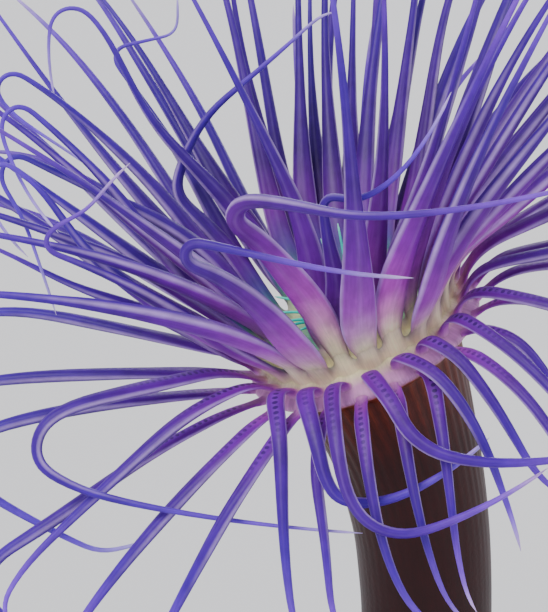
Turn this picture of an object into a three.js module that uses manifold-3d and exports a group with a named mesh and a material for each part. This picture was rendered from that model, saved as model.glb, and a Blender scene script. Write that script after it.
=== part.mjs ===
// Tube-dwelling anemone (Ceriantharia), life size, on a plain round stand.
// Millimetres, +Z up, the front of the animal faces -Y. The origin is the centre of the
// stand's underside.
//
// The column stands upright and bends over to the front left near its top. It carries a round
// disc with a slit mouth, short labial tentacles about the mouth, and a margin with four cycles
// of long marginal tentacles. Every marginal tentacle starts as a flat leaf and ends as a whip.

import * as THREE from 'three';
import { mergeVertices } from 'three/addons/utils/BufferGeometryUtils.js';
import Module from 'manifold-3d';

const wasm = await Module();
wasm.setup();

// ---------------------------------------------------------------------------------------------
// Driving dimensions
// ---------------------------------------------------------------------------------------------

const GAP = 0.3; // left between any two solids that touch

const STAND = { radius: 85, thickness: 14, bevel: 2, sides: 28 };

const COLUMN = {
  length: 190, // along the axis, from the foot to the middle of the disc
  bendStart: 0.5, // share of the length that stands straight up
  leanLeft: 24, // degrees by which the disc tips to the left
  leanFront: 16, // degrees by which the disc tips to the front
  steps: 48,
  sides: 12,
  // share of the length, radius
  radii: [[0, 8], [0.02, 11.5], [0.06, 14.5], [0.15, 16.5], [0.35, 17], [0.6, 17], [0.8, 18.8],
    [0.93, 22], [1, 22.8]],
  // shares of the length at which the column is parted
  cuts: { foot: [0, 0.125], lower: [0.125, 0.4375], middle: [0.4375, 0.75], upper: [0.75, 1] },
  ringEvery: { foot: 1, lower: 3, middle: 3, upper: 3 }, // steps between two rings of the solid
};

// Radii and heights over the disc's plane. The disc's face is a shallow bowl.
const DISC = {
  inner: 6.6,
  outer: 17.3,
  innerTop: -1.2,
  outerTop: 0.7,
  sag: 0.5,
  underside: -4.3,
  sides: 20,
};

const MOUTH = {
  radius: 3,
  crest: 0.6, // share of the radius that is level on top
  underside: DISC.underside,
  rim: 0.4,
  sides: 12,
  slitLength: 4.4,
  slitWidth: 1.1,
  slitDepth: 2.6,
  slitFacets: [8, 6],
};

const LABIAL = {
  quarters: 4,
  perCycle: 5, // tentacles of one cycle in a quarter
  lipInner: 3.3,
  lipOuter: 6.3,
  lipTop: 0.2,
  lipSlope: 0.6,
  straights: 2, // straight lengths of lip in a quarter
  radii: [4.1, 5.5],
  lengths: [21, 16.4],
  thickness: 1.3,
  tipThickness: 0.7,
  launch: 84, // degrees above the disc at the root
  lieOut: [58, 22], // degrees above the disc at the tip
  steps: 2,
  rootDepth: 1.4,
  sides: 3,
  chance: { length: 0.12, turn: 5 }, // share of the length, degrees
};

// The margin's cross section: distance from the disc's middle, height above the disc's plane.
const MARGIN_TOP = [[0, -1.5], [16.5, 1], [19.9, 0.6], [23.1, -0.9], [26.4, -3], [29.6, -5.2]];

// The four cycles of marginal tentacles, from the innermost outwards. Neighbouring cycles are
// shifted by half a sector. A fan over 1 spreads the cycle's headings away from the vertical.
const SECTORS = 24;
const SECTOR = 360 / SECTORS;
const CYCLES = [
  { pose: 'inner', root: 19.3, shift: 0, outward: -4, fan: 0.97, slim: 0.9 },
  { pose: 'inner', root: 22.4, shift: SECTOR / 2, outward: 6, fan: 1.18, slim: 1.05 },
  { pose: 'middle', root: 25.5, shift: SECTOR / 4, outward: 0, fan: 1, slim: 1 },
  { pose: 'low', root: 28.2, shift: SECTOR * 3 / 4, outward: 0, fan: 1, slim: 1 },
];
// Each block of margin carries one tentacle of two cycles.
const BLOCKS = {
  inner: { cycles: [0, 1], radii: [DISC.outer + GAP, 23.8], under: [DISC.underside, DISC.underside] },
  outer: { cycles: [2, 3], radii: [24.1, 29.6], under: [-10, -7.2] },
};
const ROOT_DEPTH = 1.6; // how deep a tentacle's root sits in the margin

// A tentacle's outline: share of the length, share of the greatest width. A broad tentacle is a
// leaf that draws in to a whip, and a narrow one tapers evenly like a strap.
const LEAF = [[0, 0.47], [0.04, 0.58], [0.08, 0.82], [0.12, 0.96], [0.15, 1], [0.21, 0.95],
  [0.3, 0.7], [0.4, 0.45], [0.54, 0.26], [0.7, 0.17], [0.85, 0.12], [1, 0.08]];
const STRAP = [[0, 0.6], [0.06, 0.86], [0.12, 1], [0.3, 0.8], [0.5, 0.6], [0.7, 0.44],
  [0.85, 0.3], [1, 0.16]];
const STRAP_WIDTH = 4.8; // a tentacle this wide or less is a strap
const LEAF_WIDTH = 7; // a tentacle this wide or more is a leaf
const LEAF_FLATNESS = 0.44; // thickness of the leaf over its width
const ROUND_FROM = 0.5; // share of the length from where the whip is round
const THINNEST = 0.36; // half the thickness of the thinnest whip
const FACE_SWELL = 1.1; // the diamond section stands this much prouder than the flat leaf

const SAMPLES = 56; // steps along a tentacle's centre line
// How far a solid's straight lengths may leave the centre line, at the root and at the tip.
const CHORD_ERROR = [0.44, 1.6];

// ---------------------------------------------------------------------------------------------
// Poses
//
// A heading is a pair of angles in degrees: the turn in the XZ plane (0 right, 90 up, 180 left,
// 270 down) and the tilt towards the front. Each row of a pose is an azimuth on the margin
// (0 right, 90 back, 180 left, 270 front), the headings at four stations along the tentacle, its
// length, its greatest width and the angle at which it leaves the disc. Azimuths between two rows
// blend them.
// ---------------------------------------------------------------------------------------------

const STATIONS = [0.18, 0.45, 0.72, 1];
const POSES = {
  inner: {
    wrap: 0,
    rows: [
      [0, [50, -4], [50, -6], [44, -4], [32, 0], 112, 7, 66],
      [45, [72, -26], [74, -32], [71, -25], [64, -10], 118, 6.6, 66],
      [90, [93, -28], [90, -32], [90, -25], [93, -10], 124, 6.6, 66],
      [135, [117, -20], [114, -26], [117, -18], [126, -5], 128, 7, 66],
      [180, [134, 2], [134, -4], [138, 0], [150, 5], 124, 7.4, 66],
      [225, [143, 26], [146, 16], [148, 10], [160, 10], 118, 8.4, 70],
      [270, [112, 36], [122, 12], [127, 4], [138, 0], 120, 8.8, 80],
      [315, [78, 34], [66, 12], [62, 4], [58, 0], 112, 8.2, 74],
    ],
  },
  middle: {
    wrap: 360,
    rows: [
      [0, [24, 0], [20, 2], [6, 2], [-16, 0], 108, 6.2, 55],
      [45, [52, -36], [46, -30], [38, -20], [22, -5], 114, 5, 55],
      [90, [92, -48], [88, -45], [88, -34], [82, -10], 122, 5, 55],
      [135, [133, -26], [126, -30], [132, -20], [146, 0], 124, 5.4, 55],
      [180, [158, 4], [154, -2], [160, 2], [172, 5], 120, 7, 52],
      [225, [178, 34], [176, 16], [182, 8], [196, 4], 118, 7.4, 46],
      [270, [262, 58], [274, 22], [284, 2], [316, -8], 92, 4, 46],
      [315, [336, 44], [316, 26], [306, 8], [312, 0], 84, 4.2, 50],
    ],
  },
  low: {
    wrap: 360,
    rows: [
      [0, [8, 0], [-8, 0], [-34, 0], [-56, 0], 98, 4.8, 30],
      [45, [34, -46], [26, -38], [8, -24], [-16, -5], 106, 4.4, 30],
      [90, [90, -70], [86, -62], [84, -44], [74, -12], 112, 4.4, 30],
      [135, [150, -40], [146, -38], [160, -24], [190, 0], 118, 4.8, 30],
      [180, [182, 4], [188, -4], [204, 0], [238, 5], 114, 5.6, 26],
      [225, [212, 36], [220, 14], [228, 4], [262, -4], 104, 5.2, 10],
      [270, [266, 44], [272, 12], [284, -6], [322, -14], 84, 3.6, 4],
      [315, [330, 38], [304, 18], [290, 0], [306, 0], 78, 3.8, 12],
    ],
  },
};

// Tentacles that hook, coil back or droop in a way of their own. The key is the cycle and the
// sector, both counted from 1. Each has a length, a greatest width and headings as
// [station, turn, tilt].
const POSED_BY_HAND = {
  // hooked tips on the left
  '1_10': { length: 119, width: 6.4, headings: [
    [0.15, 122, 0], [0.4, 132, 2], [0.62, 115, 2], [0.74, 130, 2], [0.8, 190, 4], [0.86, 262, 6],
    [1, 284, 8]] },
  '1_11': { length: 104, width: 6.2, headings: [
    [0.15, 124, -10], [0.36, 138, -6], [0.41, 110, -4], [0.45, 78, 0], [0.56, 60, 2], [0.7, 40, 2],
    [0.92, 42, 2], [1, 4, 2]] },
  '2_10': { length: 108, width: 6.6, headings: [
    [0.15, 120, -14], [0.45, 124, -18], [0.72, 128, -14], [0.76, 70, -8], [0.785, 14, -8],
    [0.88, 12, -8], [0.91, 60, -8], [0.94, 90, -8], [1, 92, -8]] },
  '1_12': { length: 130, width: 7.4, headings: [
    [0.15, 124, 4], [0.4, 134, 4], [0.68, 148, 4], [0.72, 215, 6], [0.77, 308, 8], [0.86, 328, 10],
    [1, 326, 10]] },
  '2_14': { length: 108, width: 8, headings: [
    [0.15, 141, 14], [0.42, 146, 10], [0.6, 130, 8], [0.74, 146, 6], [0.81, 255, 4], [0.88, 298, 6],
    [1, 320, 8]] },
  '2_13': { length: 122, width: 7.6, headings: [
    [0.15, 128, 12], [0.45, 132, 8], [0.68, 138, 8], [0.74, 240, 12], [0.79, 290, 16], [0.9, 302, 22],
    [1, 312, 24]] },
  '1_13': { length: 120, width: 7.4, headings: [
    [0.15, 124, 16], [0.4, 150, 8], [0.64, 150, 6], [0.7, 250, 8], [0.75, 304, 8], [0.85, 290, 6],
    [1, 288, 6]] },
  '2_15': { length: 94, width: 7.8, headings: [
    [0.15, 140, 20], [0.45, 152, 12], [0.68, 160, 6], [0.75, 45, 8], [0.8, 26, 8], [0.9, 50, 6],
    [1, 42, 4]] },
  '3_13': { length: 92, width: 7, headings: [
    [0.18, 146, 10], [0.45, 160, 6], [0.65, 152, 4], [0.82, 158, 4], [1, 192, 4]] },
  // straight leaves on the left
  '1_15': { length: 122, width: 6.6, headings: [
    [0.15, 147, 8], [0.4, 156, 2], [0.75, 164, 0], [1, 176, 0]] },
  '1_16': { length: 120, width: 7.8, headings: [
    [0.15, 146, 14], [0.4, 160, 6], [0.7, 169, 2], [1, 172, 0]] },
  '2_16': { length: 118, width: 9, headings: [
    [0.15, 152, 22], [0.35, 166, 10], [0.7, 176, 4], [1, 180, 0]] },
  // long droopers at the lower left
  '3_15': { length: 100, width: 6, headings: [
    [0.15, 200, 22], [0.35, 220, 10], [0.65, 224, 6], [0.8, 240, 4], [0.88, 290, 4], [1, 322, 4]] },
  '4_15': { length: 92, width: 5.2, headings: [
    [0.15, 220, 26], [0.4, 227, 10], [0.7, 234, 4], [0.85, 240, 4], [1, 300, 4]] },
  '4_16': { length: 84, width: 5, headings: [
    [0.15, 232, 30], [0.4, 239, 10], [0.7, 243, 0], [1, 256, -4]] },
  '4_13': { length: 124, width: 5.4, headings: [
    [0.15, 180, 24], [0.33, 187, 10], [0.5, 197, 6], [0.57, 250, 6], [0.63, 300, 6], [0.7, 330, 6],
    [0.86, 336, 4], [0.93, 372, 4], [1, 384, 4]] },
  '4_14': { length: 132, width: 5.2, headings: [
    [0.15, 205, 20], [0.35, 214, 10], [0.52, 212, 6], [0.6, 260, 6], [0.67, 318, 6], [0.8, 336, 4],
    [0.9, 372, 2], [1, 392, 0]] },
  '3_14': { length: 142, width: 6.4, headings: [
    [0.15, 188, 24], [0.3, 192, 14], [0.36, 205, 12], [0.43, 262, 12], [0.49, 330, 12],
    [0.62, 350, 10], [1, 358, 6]] },
  // leaves that stand over the front of the disc, one with a hairpin and two that reach across
  '1_17': { length: 116, width: 7.2, headings: [
    [0.1, 143, 18], [0.3, 140, 8], [0.72, 146, 4], [1, 154, 0]] },
  '2_17': { length: 104, width: 9.4, headings: [
    [0.12, 116, 36], [0.24, 130, 30], [0.4, 148, 22], [0.47, 158, 20], [0.51, 90, 20], [0.56, -8, 20],
    [0.7, -12, 14], [1, -2, 6]] },
  '1_18': { length: 118, width: 7.4, headings: [
    [0.14, 92, 8], [0.3, 110, -2], [0.45, 117, -2], [0.72, 118, 0], [1, 122, 0]] },
  '2_18': { length: 154, width: 8, headings: [
    [0.09, 114, 38], [0.18, 125, 32], [0.28, 130, 26], [0.335, 140, 26], [0.37, 60, 30], [0.41, 2, 32],
    [0.5, -6, 32], [0.62, 8, 30], [1, 22, 22]] },
  '1_19': { length: 82, width: 6.6, headings: [
    [0.2, 92, 30], [0.34, 106, 20], [0.5, 98, 14], [0.56, -8, 14], [0.66, 32, 12], [0.8, 54, 10],
    [1, 68, 6]] },
  '2_19': { length: 116, width: 9, headings: [
    [0.14, 91, 36], [0.3, 95, 16], [0.7, 98, 2], [1, 104, -4]] },
  '1_20': { length: 112, width: 7.4, headings: [
    [0.14, 84, 13], [0.4, 88, 0], [0.7, 92, -4], [1, 96, -6]] },
  '2_20': { length: 114, width: 9, headings: [
    [0.14, 80, 32], [0.34, 71, 14], [0.7, 66, 4], [1, 62, 0]] },
  '1_21': { length: 110, width: 6.8, headings: [
    [0.14, 73, 8], [0.4, 76, -4], [0.7, 76, -6], [1, 72, -8]] },
  // droopers that arch over the front of the margin
  '4_17': { length: 66, width: 3.9, headings: [
    [0.18, 262, 40], [0.35, 276, 14], [0.65, 274, 4], [0.85, 294, 0], [1, 316, 0]] },
  '3_16': { length: 76, width: 4.6, headings: [
    [0.18, 278, 52], [0.38, 272, 18], [0.7, 277, 6], [1, 296, 0]] },
  '4_18': { length: 74, width: 3.8, headings: [
    [0.18, 276, 38], [0.4, 282, 10], [0.62, 294, 0], [0.8, 322, -4], [1, 358, -6]] },
  '3_17': { length: 72, width: 4.6, headings: [
    [0.18, 286, 50], [0.34, 281, 18], [0.43, 300, 10], [0.52, 352, 4], [0.7, 384, 0], [1, 404, -6]] },
  '4_19': { length: 64, width: 3.8, headings: [
    [0.18, 278, 36], [0.5, 283, 6], [0.75, 290, -2], [1, 324, -8]] },
  '3_18': { length: 86, width: 4.4, headings: [
    [0.18, 274, 50], [0.34, 282, 16], [0.44, 302, 6], [0.52, 335, 2], [0.66, 378, -4], [1, 394, -8]] },
  '4_20': { length: 62, width: 3.8, headings: [
    [0.18, 280, 36], [0.6, 277, 4], [0.85, 284, -4], [1, 302, -8]] },
  '3_19': { length: 76, width: 4.6, headings: [
    [0.18, 314, 46], [0.27, 300, 24], [0.37, 325, 12], [0.5, 352, 4], [0.75, 366, -2], [1, 380, -8]] },
  '3_20': { length: 60, width: 4.4, headings: [
    [0.18, 345, 42], [0.34, 312, 22], [0.6, 296, 8], [1, 282, 2]] },
  '3_21': { length: 60, width: 4.2, headings: [
    [0.18, 340, 36], [0.36, 306, 18], [0.65, 299, 4], [0.85, 320, 0], [1, 332, 0]] },
  '4_22': { length: 52, width: 3.8, headings: [
    [0.18, 352, 34], [0.4, 310, 16], [0.7, 298, 4], [1, 300, 0]] },
};

// How much chance varies a tentacle that isn't posed by hand.
const CHANCE = { seed: 7, spread: [3, 5, 8, 20], station: 0.05, length: 0.08, width: 0.08 };

// How tentacles are moved apart until none touches another, the margin or the column.
const SETTLE = {
  rounds: 84,
  refresh: 12, // rounds between two searches for neighbours
  reach: 11, // neighbours are sought this near
  clearance: [1, 2.2], // at the root and at the tip
  stiffRoot: 0.08, // share of the length over which a tentacle starts to give way
  haste: 3.2,
  smoothing: 6, // passes that smooth each round's moves and the whole drift
  lip: { ring: 26.5, height: -6, roll: 4 }, // the margin's rolled edge, as a ring
  columnMargin: 1,
};

const COLOURS = {
  stand: 0x2a2420,
  column: 0x4a1f24,
  disc: 0x6f9c9a,
  mouth: 0xb8c9a8,
  labial: 0x58d8c8,
  inner: 0x8a4fd0,
  outer: 0xa05ad6,
};

// ---------------------------------------------------------------------------------------------
// Small helpers
// ---------------------------------------------------------------------------------------------

const radians = THREE.MathUtils.degToRad;
const degrees = THREE.MathUtils.radToDeg;
const twoDigits = (number) => String(number).padStart(2, '0');
const mix = (a, b, share) => a + (b - a) * share;

function smooth(x) {
  const u = Math.min(1, Math.max(0, x));
  return u * u * (3 - 2 * u);
}

/** The value at x of a line through [x, value] pairs. */
function along(pairs, x) {
  for (let k = 1; k < pairs.length; k++) {
    const [x0, value0] = pairs[k - 1];
    const [x1, value1] = pairs[k];
    if (x <= x1) return value0 + (value1 - value0) * (x - x0) / (x1 - x0);
  }
  return pairs[pairs.length - 1][1];
}

/** Portable random numbers from -1 to 1, the same in every language. */
function makeDice(seed) {
  let state = seed >>> 0;
  return () => {
    state = (Math.imul(state, 1664525) + 1013904223) >>> 0;
    return state / 4294967296 * 2 - 1;
  };
}

function heading(turn, tilt) {
  const a = radians(turn);
  const b = radians(tilt);
  return new THREE.Vector3(Math.cos(b) * Math.cos(a), -Math.sin(b), Math.cos(b) * Math.sin(a));
}

// ---------------------------------------------------------------------------------------------
// The crown's frame and the column's axis
// ---------------------------------------------------------------------------------------------

const discUp = new THREE.Vector3(
  -Math.tan(radians(COLUMN.leanLeft)), -Math.tan(radians(COLUMN.leanFront)), 1).normalize();
const discRight = new THREE.Vector3(1, 0, 0).addScaledVector(discUp, -discUp.x).normalize();
const discBack = new THREE.Vector3().crossVectors(discUp, discRight);

function makeColumnAxis() {
  const lean = Math.acos(discUp.z);
  const leanWay = new THREE.Vector3(discUp.x, discUp.y, 0).normalize();
  const tangents = [];
  for (let k = 0; k <= COLUMN.steps; k++) {
    const bend = smooth((k / COLUMN.steps - COLUMN.bendStart) / (1 - COLUMN.bendStart));
    const tangent = new THREE.Vector3(0, 0, Math.cos(lean * bend));
    tangents.push(tangent.addScaledVector(leanWay, Math.sin(lean * bend)));
  }
  const step = COLUMN.length / COLUMN.steps;
  const points = [new THREE.Vector3(0, 0, STAND.thickness)];
  for (let k = 0; k < COLUMN.steps; k++) {
    const way = tangents[k].clone().add(tangents[k + 1]).normalize();
    points.push(points[k].clone().addScaledVector(way, step));
  }
  return { points, tangents };
}

const axis = makeColumnAxis();
const crownMiddle = axis.points[COLUMN.steps];

function outward(azimuth) {
  const a = radians(azimuth);
  return discRight.clone().multiplyScalar(Math.cos(a)).addScaledVector(discBack, Math.sin(a));
}

/** A point of the crown from its distance to the middle, azimuth and height over the disc. */
function crownPoint(radius, azimuth, height) {
  return crownMiddle.clone().addScaledVector(outward(azimuth), radius).addScaledVector(discUp, height);
}

// ---------------------------------------------------------------------------------------------
// Marginal tentacles: centre lines
// ---------------------------------------------------------------------------------------------

/** Blends the pose's rows at an azimuth. */
function poseAt(pose, azimuth) {
  const { wrap, rows } = POSES[pose];
  const span = 360 / rows.length;
  const index = Math.floor(azimuth / span) % rows.length;
  const row = rows[index];
  const next = rows[(index + 1) % rows.length];
  const turned = index === rows.length - 1 ? wrap : 0;
  const share = smooth((azimuth - row[0]) / span);
  const stations = STATIONS.length;
  const headings = STATIONS.map((station, k) => [
    station,
    mix(row[k + 1][0], next[k + 1][0] + turned, share),
    mix(row[k + 1][1], next[k + 1][1], share),
  ]);
  const [length, width, launch] = [1, 2, 3].map(
    (k) => mix(row[stations + k], next[stations + k], share));
  return { headings, length, width, launch };
}

/** Varies the blended headings by chance and by the cycle's own outward lean and fan. */
function varyHeadings(headings, azimuth, lean, fan, rolls) {
  const a = radians(azimuth);
  return headings.map(([station, turn, tilt], k) => {
    const nearRoot = k < 2;
    const spread = CHANCE.spread[k];
    const turnRoll = nearRoot ? rolls[0] : 0.5 * rolls[0] + rolls[1];
    const tiltRoll = nearRoot ? rolls[2] : 0.5 * rolls[2] + rolls[3];
    const inner = k === 1 || k === 2;
    const at = inner ? station + CHANCE.station * rolls[4] : station;
    const leaning = lean * (1 - at);
    return [
      at,
      90 + (turn - 90) * fan + spread * turnRoll - leaning * Math.cos(a),
      tilt + spread * tiltRoll - leaning * Math.sin(a),
    ];
  });
}

/** A smooth value through [station, ...values] rows that never overshoots them. */
function easedValue(rows, column, station) {
  let k = 0;
  while (k < rows.length - 2 && station > rows[k + 1][0]) k++;
  const chord = (i) => (rows[i + 1][column] - rows[i][column]) / (rows[i + 1][0] - rows[i][0]);
  const slope = (i) => {
    if (i === 0) return chord(0);
    if (i === rows.length - 1) return chord(i - 1);
    const before = chord(i - 1);
    const after = chord(i);
    return before * after <= 0 ? 0 : 2 * before * after / (before + after);
  };
  const span = rows[k + 1][0] - rows[k][0];
  const u = (station - rows[k][0]) / span;
  const startWeight = (1 + 2 * u) * (1 - u) * (1 - u);
  const endWeight = u * u * (3 - 2 * u);
  return startWeight * rows[k][column] + endWeight * rows[k + 1][column]
    + span * (u * (1 - u) * (1 - u) * slope(k) - u * u * (1 - u) * slope(k + 1));
}

/** The tentacle's direction at a share of its length. */
function courseAt(tentacle, share) {
  const first = tentacle.headings[0][0];
  const station = Math.max(share, first);
  const way = heading(
    easedValue(tentacle.headings, 1, station), easedValue(tentacle.headings, 2, station));
  const given = smooth(share / first);
  return tentacle.launchWay.clone().multiplyScalar(1 - given).addScaledVector(way, given).normalize();
}

function centreLine(tentacle) {
  const step = tentacle.length / SAMPLES;
  const points = [tentacle.root.clone()];
  let way = courseAt(tentacle, 0);
  for (let k = 1; k <= SAMPLES; k++) {
    const next = courseAt(tentacle, k / SAMPLES);
    points.push(points[k - 1].clone().addScaledVector(way.add(next).normalize(), step));
    way = next;
  }
  return points;
}

/** Side and face directions carried along a line without twist. */
function carryFrame(points, firstSide) {
  const last = points.length - 1;
  const sides = [];
  const faces = [];
  let side = firstSide;
  for (let k = 0; k <= last; k++) {
    const tangent = points[Math.min(k + 1, last)].clone().sub(points[Math.max(k - 1, 0)]).normalize();
    side = side.clone().addScaledVector(tangent, -side.dot(tangent)).normalize();
    sides.push(side);
    faces.push(new THREE.Vector3().crossVectors(tangent, side));
  }
  return { sides, faces };
}

function makeTentacle(cycle, sector, roll) {
  const { pose, root, shift, outward: lean, fan, slim } = CYCLES[cycle];
  const azimuth = SECTOR * sector + shift;
  const rolls = Array.from({ length: 7 }, roll);
  const blended = poseAt(pose, azimuth);
  const byHand = POSED_BY_HAND[`${cycle + 1}_${twoDigits(sector + 1)}`];
  const out = outward(azimuth);
  const launch = radians(blended.launch);
  const tentacle = {
    root: crownPoint(root, azimuth, along(MARGIN_TOP, root) - ROOT_DEPTH),
    firstSide: new THREE.Vector3().crossVectors(discUp, out),
    launchWay: out.clone().multiplyScalar(Math.cos(launch)).addScaledVector(discUp, Math.sin(launch)),
    headings: byHand ? byHand.headings : varyHeadings(blended.headings, azimuth, lean, fan, rolls),
    length: byHand ? byHand.length : blended.length * (1 + CHANCE.length * rolls[5]),
    width: byHand ? byHand.width : blended.width * slim * (1 + CHANCE.width * rolls[6]),
  };
  tentacle.points = centreLine(tentacle);
  const leafiness = smooth((tentacle.width - STRAP_WIDTH) / (LEAF_WIDTH - STRAP_WIDTH));
  tentacle.halfWidths = [];
  tentacle.halfThicknesses = [];
  for (let k = 0; k <= SAMPLES; k++) {
    const share = k / SAMPLES;
    const half = tentacle.width / 2 * mix(along(STRAP, share), along(LEAF, share), leafiness);
    const flatness = mix(LEAF_FLATNESS, 1, smooth(share / ROUND_FROM));
    tentacle.halfWidths.push(Math.max(half, THINNEST));
    tentacle.halfThicknesses.push(Math.max(half * flatness, THINNEST));
  }
  return tentacle;
}

// ---------------------------------------------------------------------------------------------
// Marginal tentacles: settling
// ---------------------------------------------------------------------------------------------

const columnRadii = axis.points.map((point, k) => along(COLUMN.radii, k / COLUMN.steps));
const COLUMN_TOP_LEFT_TO_MARGIN = 3; // axis points at the top that the margin covers

/** Samples of different tentacles that lie within reach of each other. */
function findNeighbours(tentacles) {
  const pairs = [];
  const reach = SETTLE.reach * SETTLE.reach;
  for (let i = 0; i < tentacles.length; i++) {
    for (let a = 0; a <= SAMPLES; a++) {
      const { x, y, z } = tentacles[i].points[a];
      for (let j = i + 1; j < tentacles.length; j++) {
        const others = tentacles[j].points;
        for (let b = 0; b <= SAMPLES; b++) {
          const dx = x - others[b].x;
          const dy = y - others[b].y;
          const dz = z - others[b].z;
          if (dx * dx + dy * dy + dz * dz < reach) pairs.push([i, a, j, b]);
        }
      }
    }
  }
  return pairs;
}

/** How far the section reaches from its centre along a direction. */
function sectionReach(tentacle, k, way) {
  const across = tentacle.halfWidths[k] * way.dot(tentacle.sides[k]);
  const through = tentacle.halfThicknesses[k] * way.dot(tentacle.faces[k]);
  return Math.sqrt(across * across + through * through);
}

/** The move that takes a point clear of the margin's rolled edge and of the column. */
function clearOfBody(point, halfThickness) {
  const { ring, height, roll } = SETTLE.lip;
  const room = halfThickness + SETTLE.clearance[0];
  const fromMiddle = point.clone().sub(crownMiddle);
  const above = fromMiddle.dot(discUp);
  const flat = fromMiddle.addScaledVector(discUp, -above);
  const radius = flat.length();
  const fromRoll = flat.multiplyScalar((radius - ring) / radius);
  fromRoll.addScaledVector(discUp, above - height);
  const distance = fromRoll.length();
  const move = fromRoll.multiplyScalar(Math.max(roll + room - distance, 0) / distance);

  let deepest = 0;
  let push = null;
  for (let k = 0; k <= COLUMN.steps - COLUMN_TOP_LEFT_TO_MARGIN; k++) {
    const away = point.clone().sub(axis.points[k]);
    const short = columnRadii[k] + room + SETTLE.columnMargin - away.length();
    if (short > deepest) {
      deepest = short;
      push = away.normalize();
    }
  }
  if (push) move.addScaledVector(push, deepest / 2);
  return move;
}

/** Passes of a 1-2-1 average along a tentacle, with its ends left alone. */
function smoothMoves(moves, passes) {
  let current = moves;
  for (let pass = 0; pass < passes; pass++) {
    const before = current;
    current = before.map((move, k) => {
      if (k === 0 || k === SAMPLES) return move;
      return move.clone().multiplyScalar(0.5).addScaledVector(before[k - 1], 0.25)
        .addScaledVector(before[k + 1], 0.25);
    });
  }
  return current;
}

function carryFrames(tentacles) {
  for (const tentacle of tentacles) {
    Object.assign(tentacle, carryFrame(tentacle.points, tentacle.firstSide));
  }
}

/** Moves tentacles apart, with smooth drifts from their first places so that their bends stay clean. */
function settle(tentacles) {
  const shares = Array.from({ length: SAMPLES + 1 }, (_, k) => k / SAMPLES);
  const give = shares.map((share) => smooth(share / SETTLE.stiffRoot));
  const halfClearance = shares.map((share) => mix(...SETTLE.clearance, share) / 2);
  const homes = tentacles.map((tentacle) => tentacle.points);
  const way = new THREE.Vector3();
  let neighbours = [];
  for (let round = 0; round < SETTLE.rounds; round++) {
    if (round % SETTLE.refresh === 0) {
      carryFrames(tentacles);
      neighbours = findNeighbours(tentacles);
    }
    const moves = tentacles.map((tentacle) => tentacle.points.map(() => new THREE.Vector3()));
    const counts = tentacles.map((tentacle) => tentacle.points.map(() => 0));
    for (const [i, a, j, b] of neighbours) {
      const giving = give[a] + give[b];
      if (giving === 0) continue;
      way.subVectors(tentacles[i].points[a], tentacles[j].points[b]);
      const distance = way.length();
      way.divideScalar(distance);
      const needed = sectionReach(tentacles[i], a, way) + sectionReach(tentacles[j], b, way)
        + halfClearance[a] + halfClearance[b];
      if (needed <= distance) continue;
      moves[i][a].addScaledVector(way, (needed - distance) * give[a] / giving);
      moves[j][b].addScaledVector(way, -(needed - distance) * give[b] / giving);
      counts[i][a] += 1;
      counts[j][b] += 1;
    }
    tentacles.forEach((tentacle, i) => {
      const mean = moves[i].map((move, k) => move.divideScalar(Math.max(counts[i][k], 1)));
      const eased = smoothMoves(mean, SETTLE.smoothing);
      const drifts = tentacle.points.map((point, k) => {
        const clear = clearOfBody(point, tentacle.halfThicknesses[k]);
        const drift = point.clone().sub(homes[i][k]);
        return drift.addScaledVector(eased[k], give[k] * SETTLE.haste).addScaledVector(clear, give[k]);
      });
      const faired = smoothMoves(drifts, SETTLE.smoothing);
      tentacle.points = homes[i].map((home, k) => home.clone().add(faired[k]));
    });
  }
  carryFrames(tentacles);
}

function makeTentacles() {
  const roll = makeDice(CHANCE.seed);
  const bySector = [];
  for (let sector = 0; sector < SECTORS; sector++) {
    bySector.push(CYCLES.map((_, cycle) => makeTentacle(cycle, sector, roll)));
  }
  settle(bySector.flat());
  return bySector;
}

// ---------------------------------------------------------------------------------------------
// Solids
// ---------------------------------------------------------------------------------------------

function makeGeometry(points, triangles) {
  const geometry = new THREE.BufferGeometry();
  const numbers = points.flatMap((point) => point.toArray());
  geometry.setAttribute('position', new THREE.Float32BufferAttribute(numbers, 3));
  geometry.setIndex(triangles.flat());
  return geometry;
}

/** A closed solid through rings of equally many points, with flat ends. */
function loft(rings) {
  const sides = rings[0].length;
  const triangles = [];
  for (let r = 0; r < rings.length - 1; r++) {
    for (let s = 0; s < sides; s++) {
      const a = r * sides + s;
      const b = r * sides + (s + 1) % sides;
      triangles.push([a, b, b + sides], [a, b + sides, a + sides]);
    }
  }
  const top = (rings.length - 1) * sides;
  for (let s = 1; s < sides - 1; s++) {
    triangles.push([0, s + 1, s], [top, top + s, top + s + 1]);
  }
  return makeGeometry(rings.flat(), triangles);
}

function toSolid(geometry) {
  geometry.deleteAttribute('normal');
  geometry.deleteAttribute('uv');
  const merged = mergeVertices(geometry);
  return new wasm.Manifold(new wasm.Mesh({
    numProp: 3,
    vertProperties: new Float32Array(merged.attributes.position.array),
    triVerts: new Uint32Array(merged.index.array),
  }));
}

function fromSolid(solid) {
  const { vertProperties, triVerts } = solid.getMesh();
  const geometry = new THREE.BufferGeometry();
  geometry.setAttribute('position', new THREE.BufferAttribute(new Float32Array(vertProperties), 3));
  geometry.setIndex(new THREE.BufferAttribute(new Uint32Array(triVerts), 1));
  return geometry;
}

/** A body turned about the Z axis from [radius, height] pairs. */
function turned(profile, sides) {
  const points = profile.map(([radius, height]) => new THREE.Vector2(radius, height));
  return new THREE.LatheGeometry(points, sides).rotateX(Math.PI / 2);
}

function joinAll(geometries) {
  return fromSolid(geometries.map(toSolid).reduce((joined, piece) => joined.add(piece)));
}

/** The cross section of a block of the crown; each value is given at its near and far radius. */
function crownSection(radii, azimuths, under, top) {
  const corner = (end, heights) => crownPoint(radii[end], azimuths[end], heights[end]);
  return [corner(0, under), corner(0, top), corner(1, top), corner(1, under)];
}

// ---------------------------------------------------------------------------------------------
// Sub-parts
// ---------------------------------------------------------------------------------------------

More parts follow.
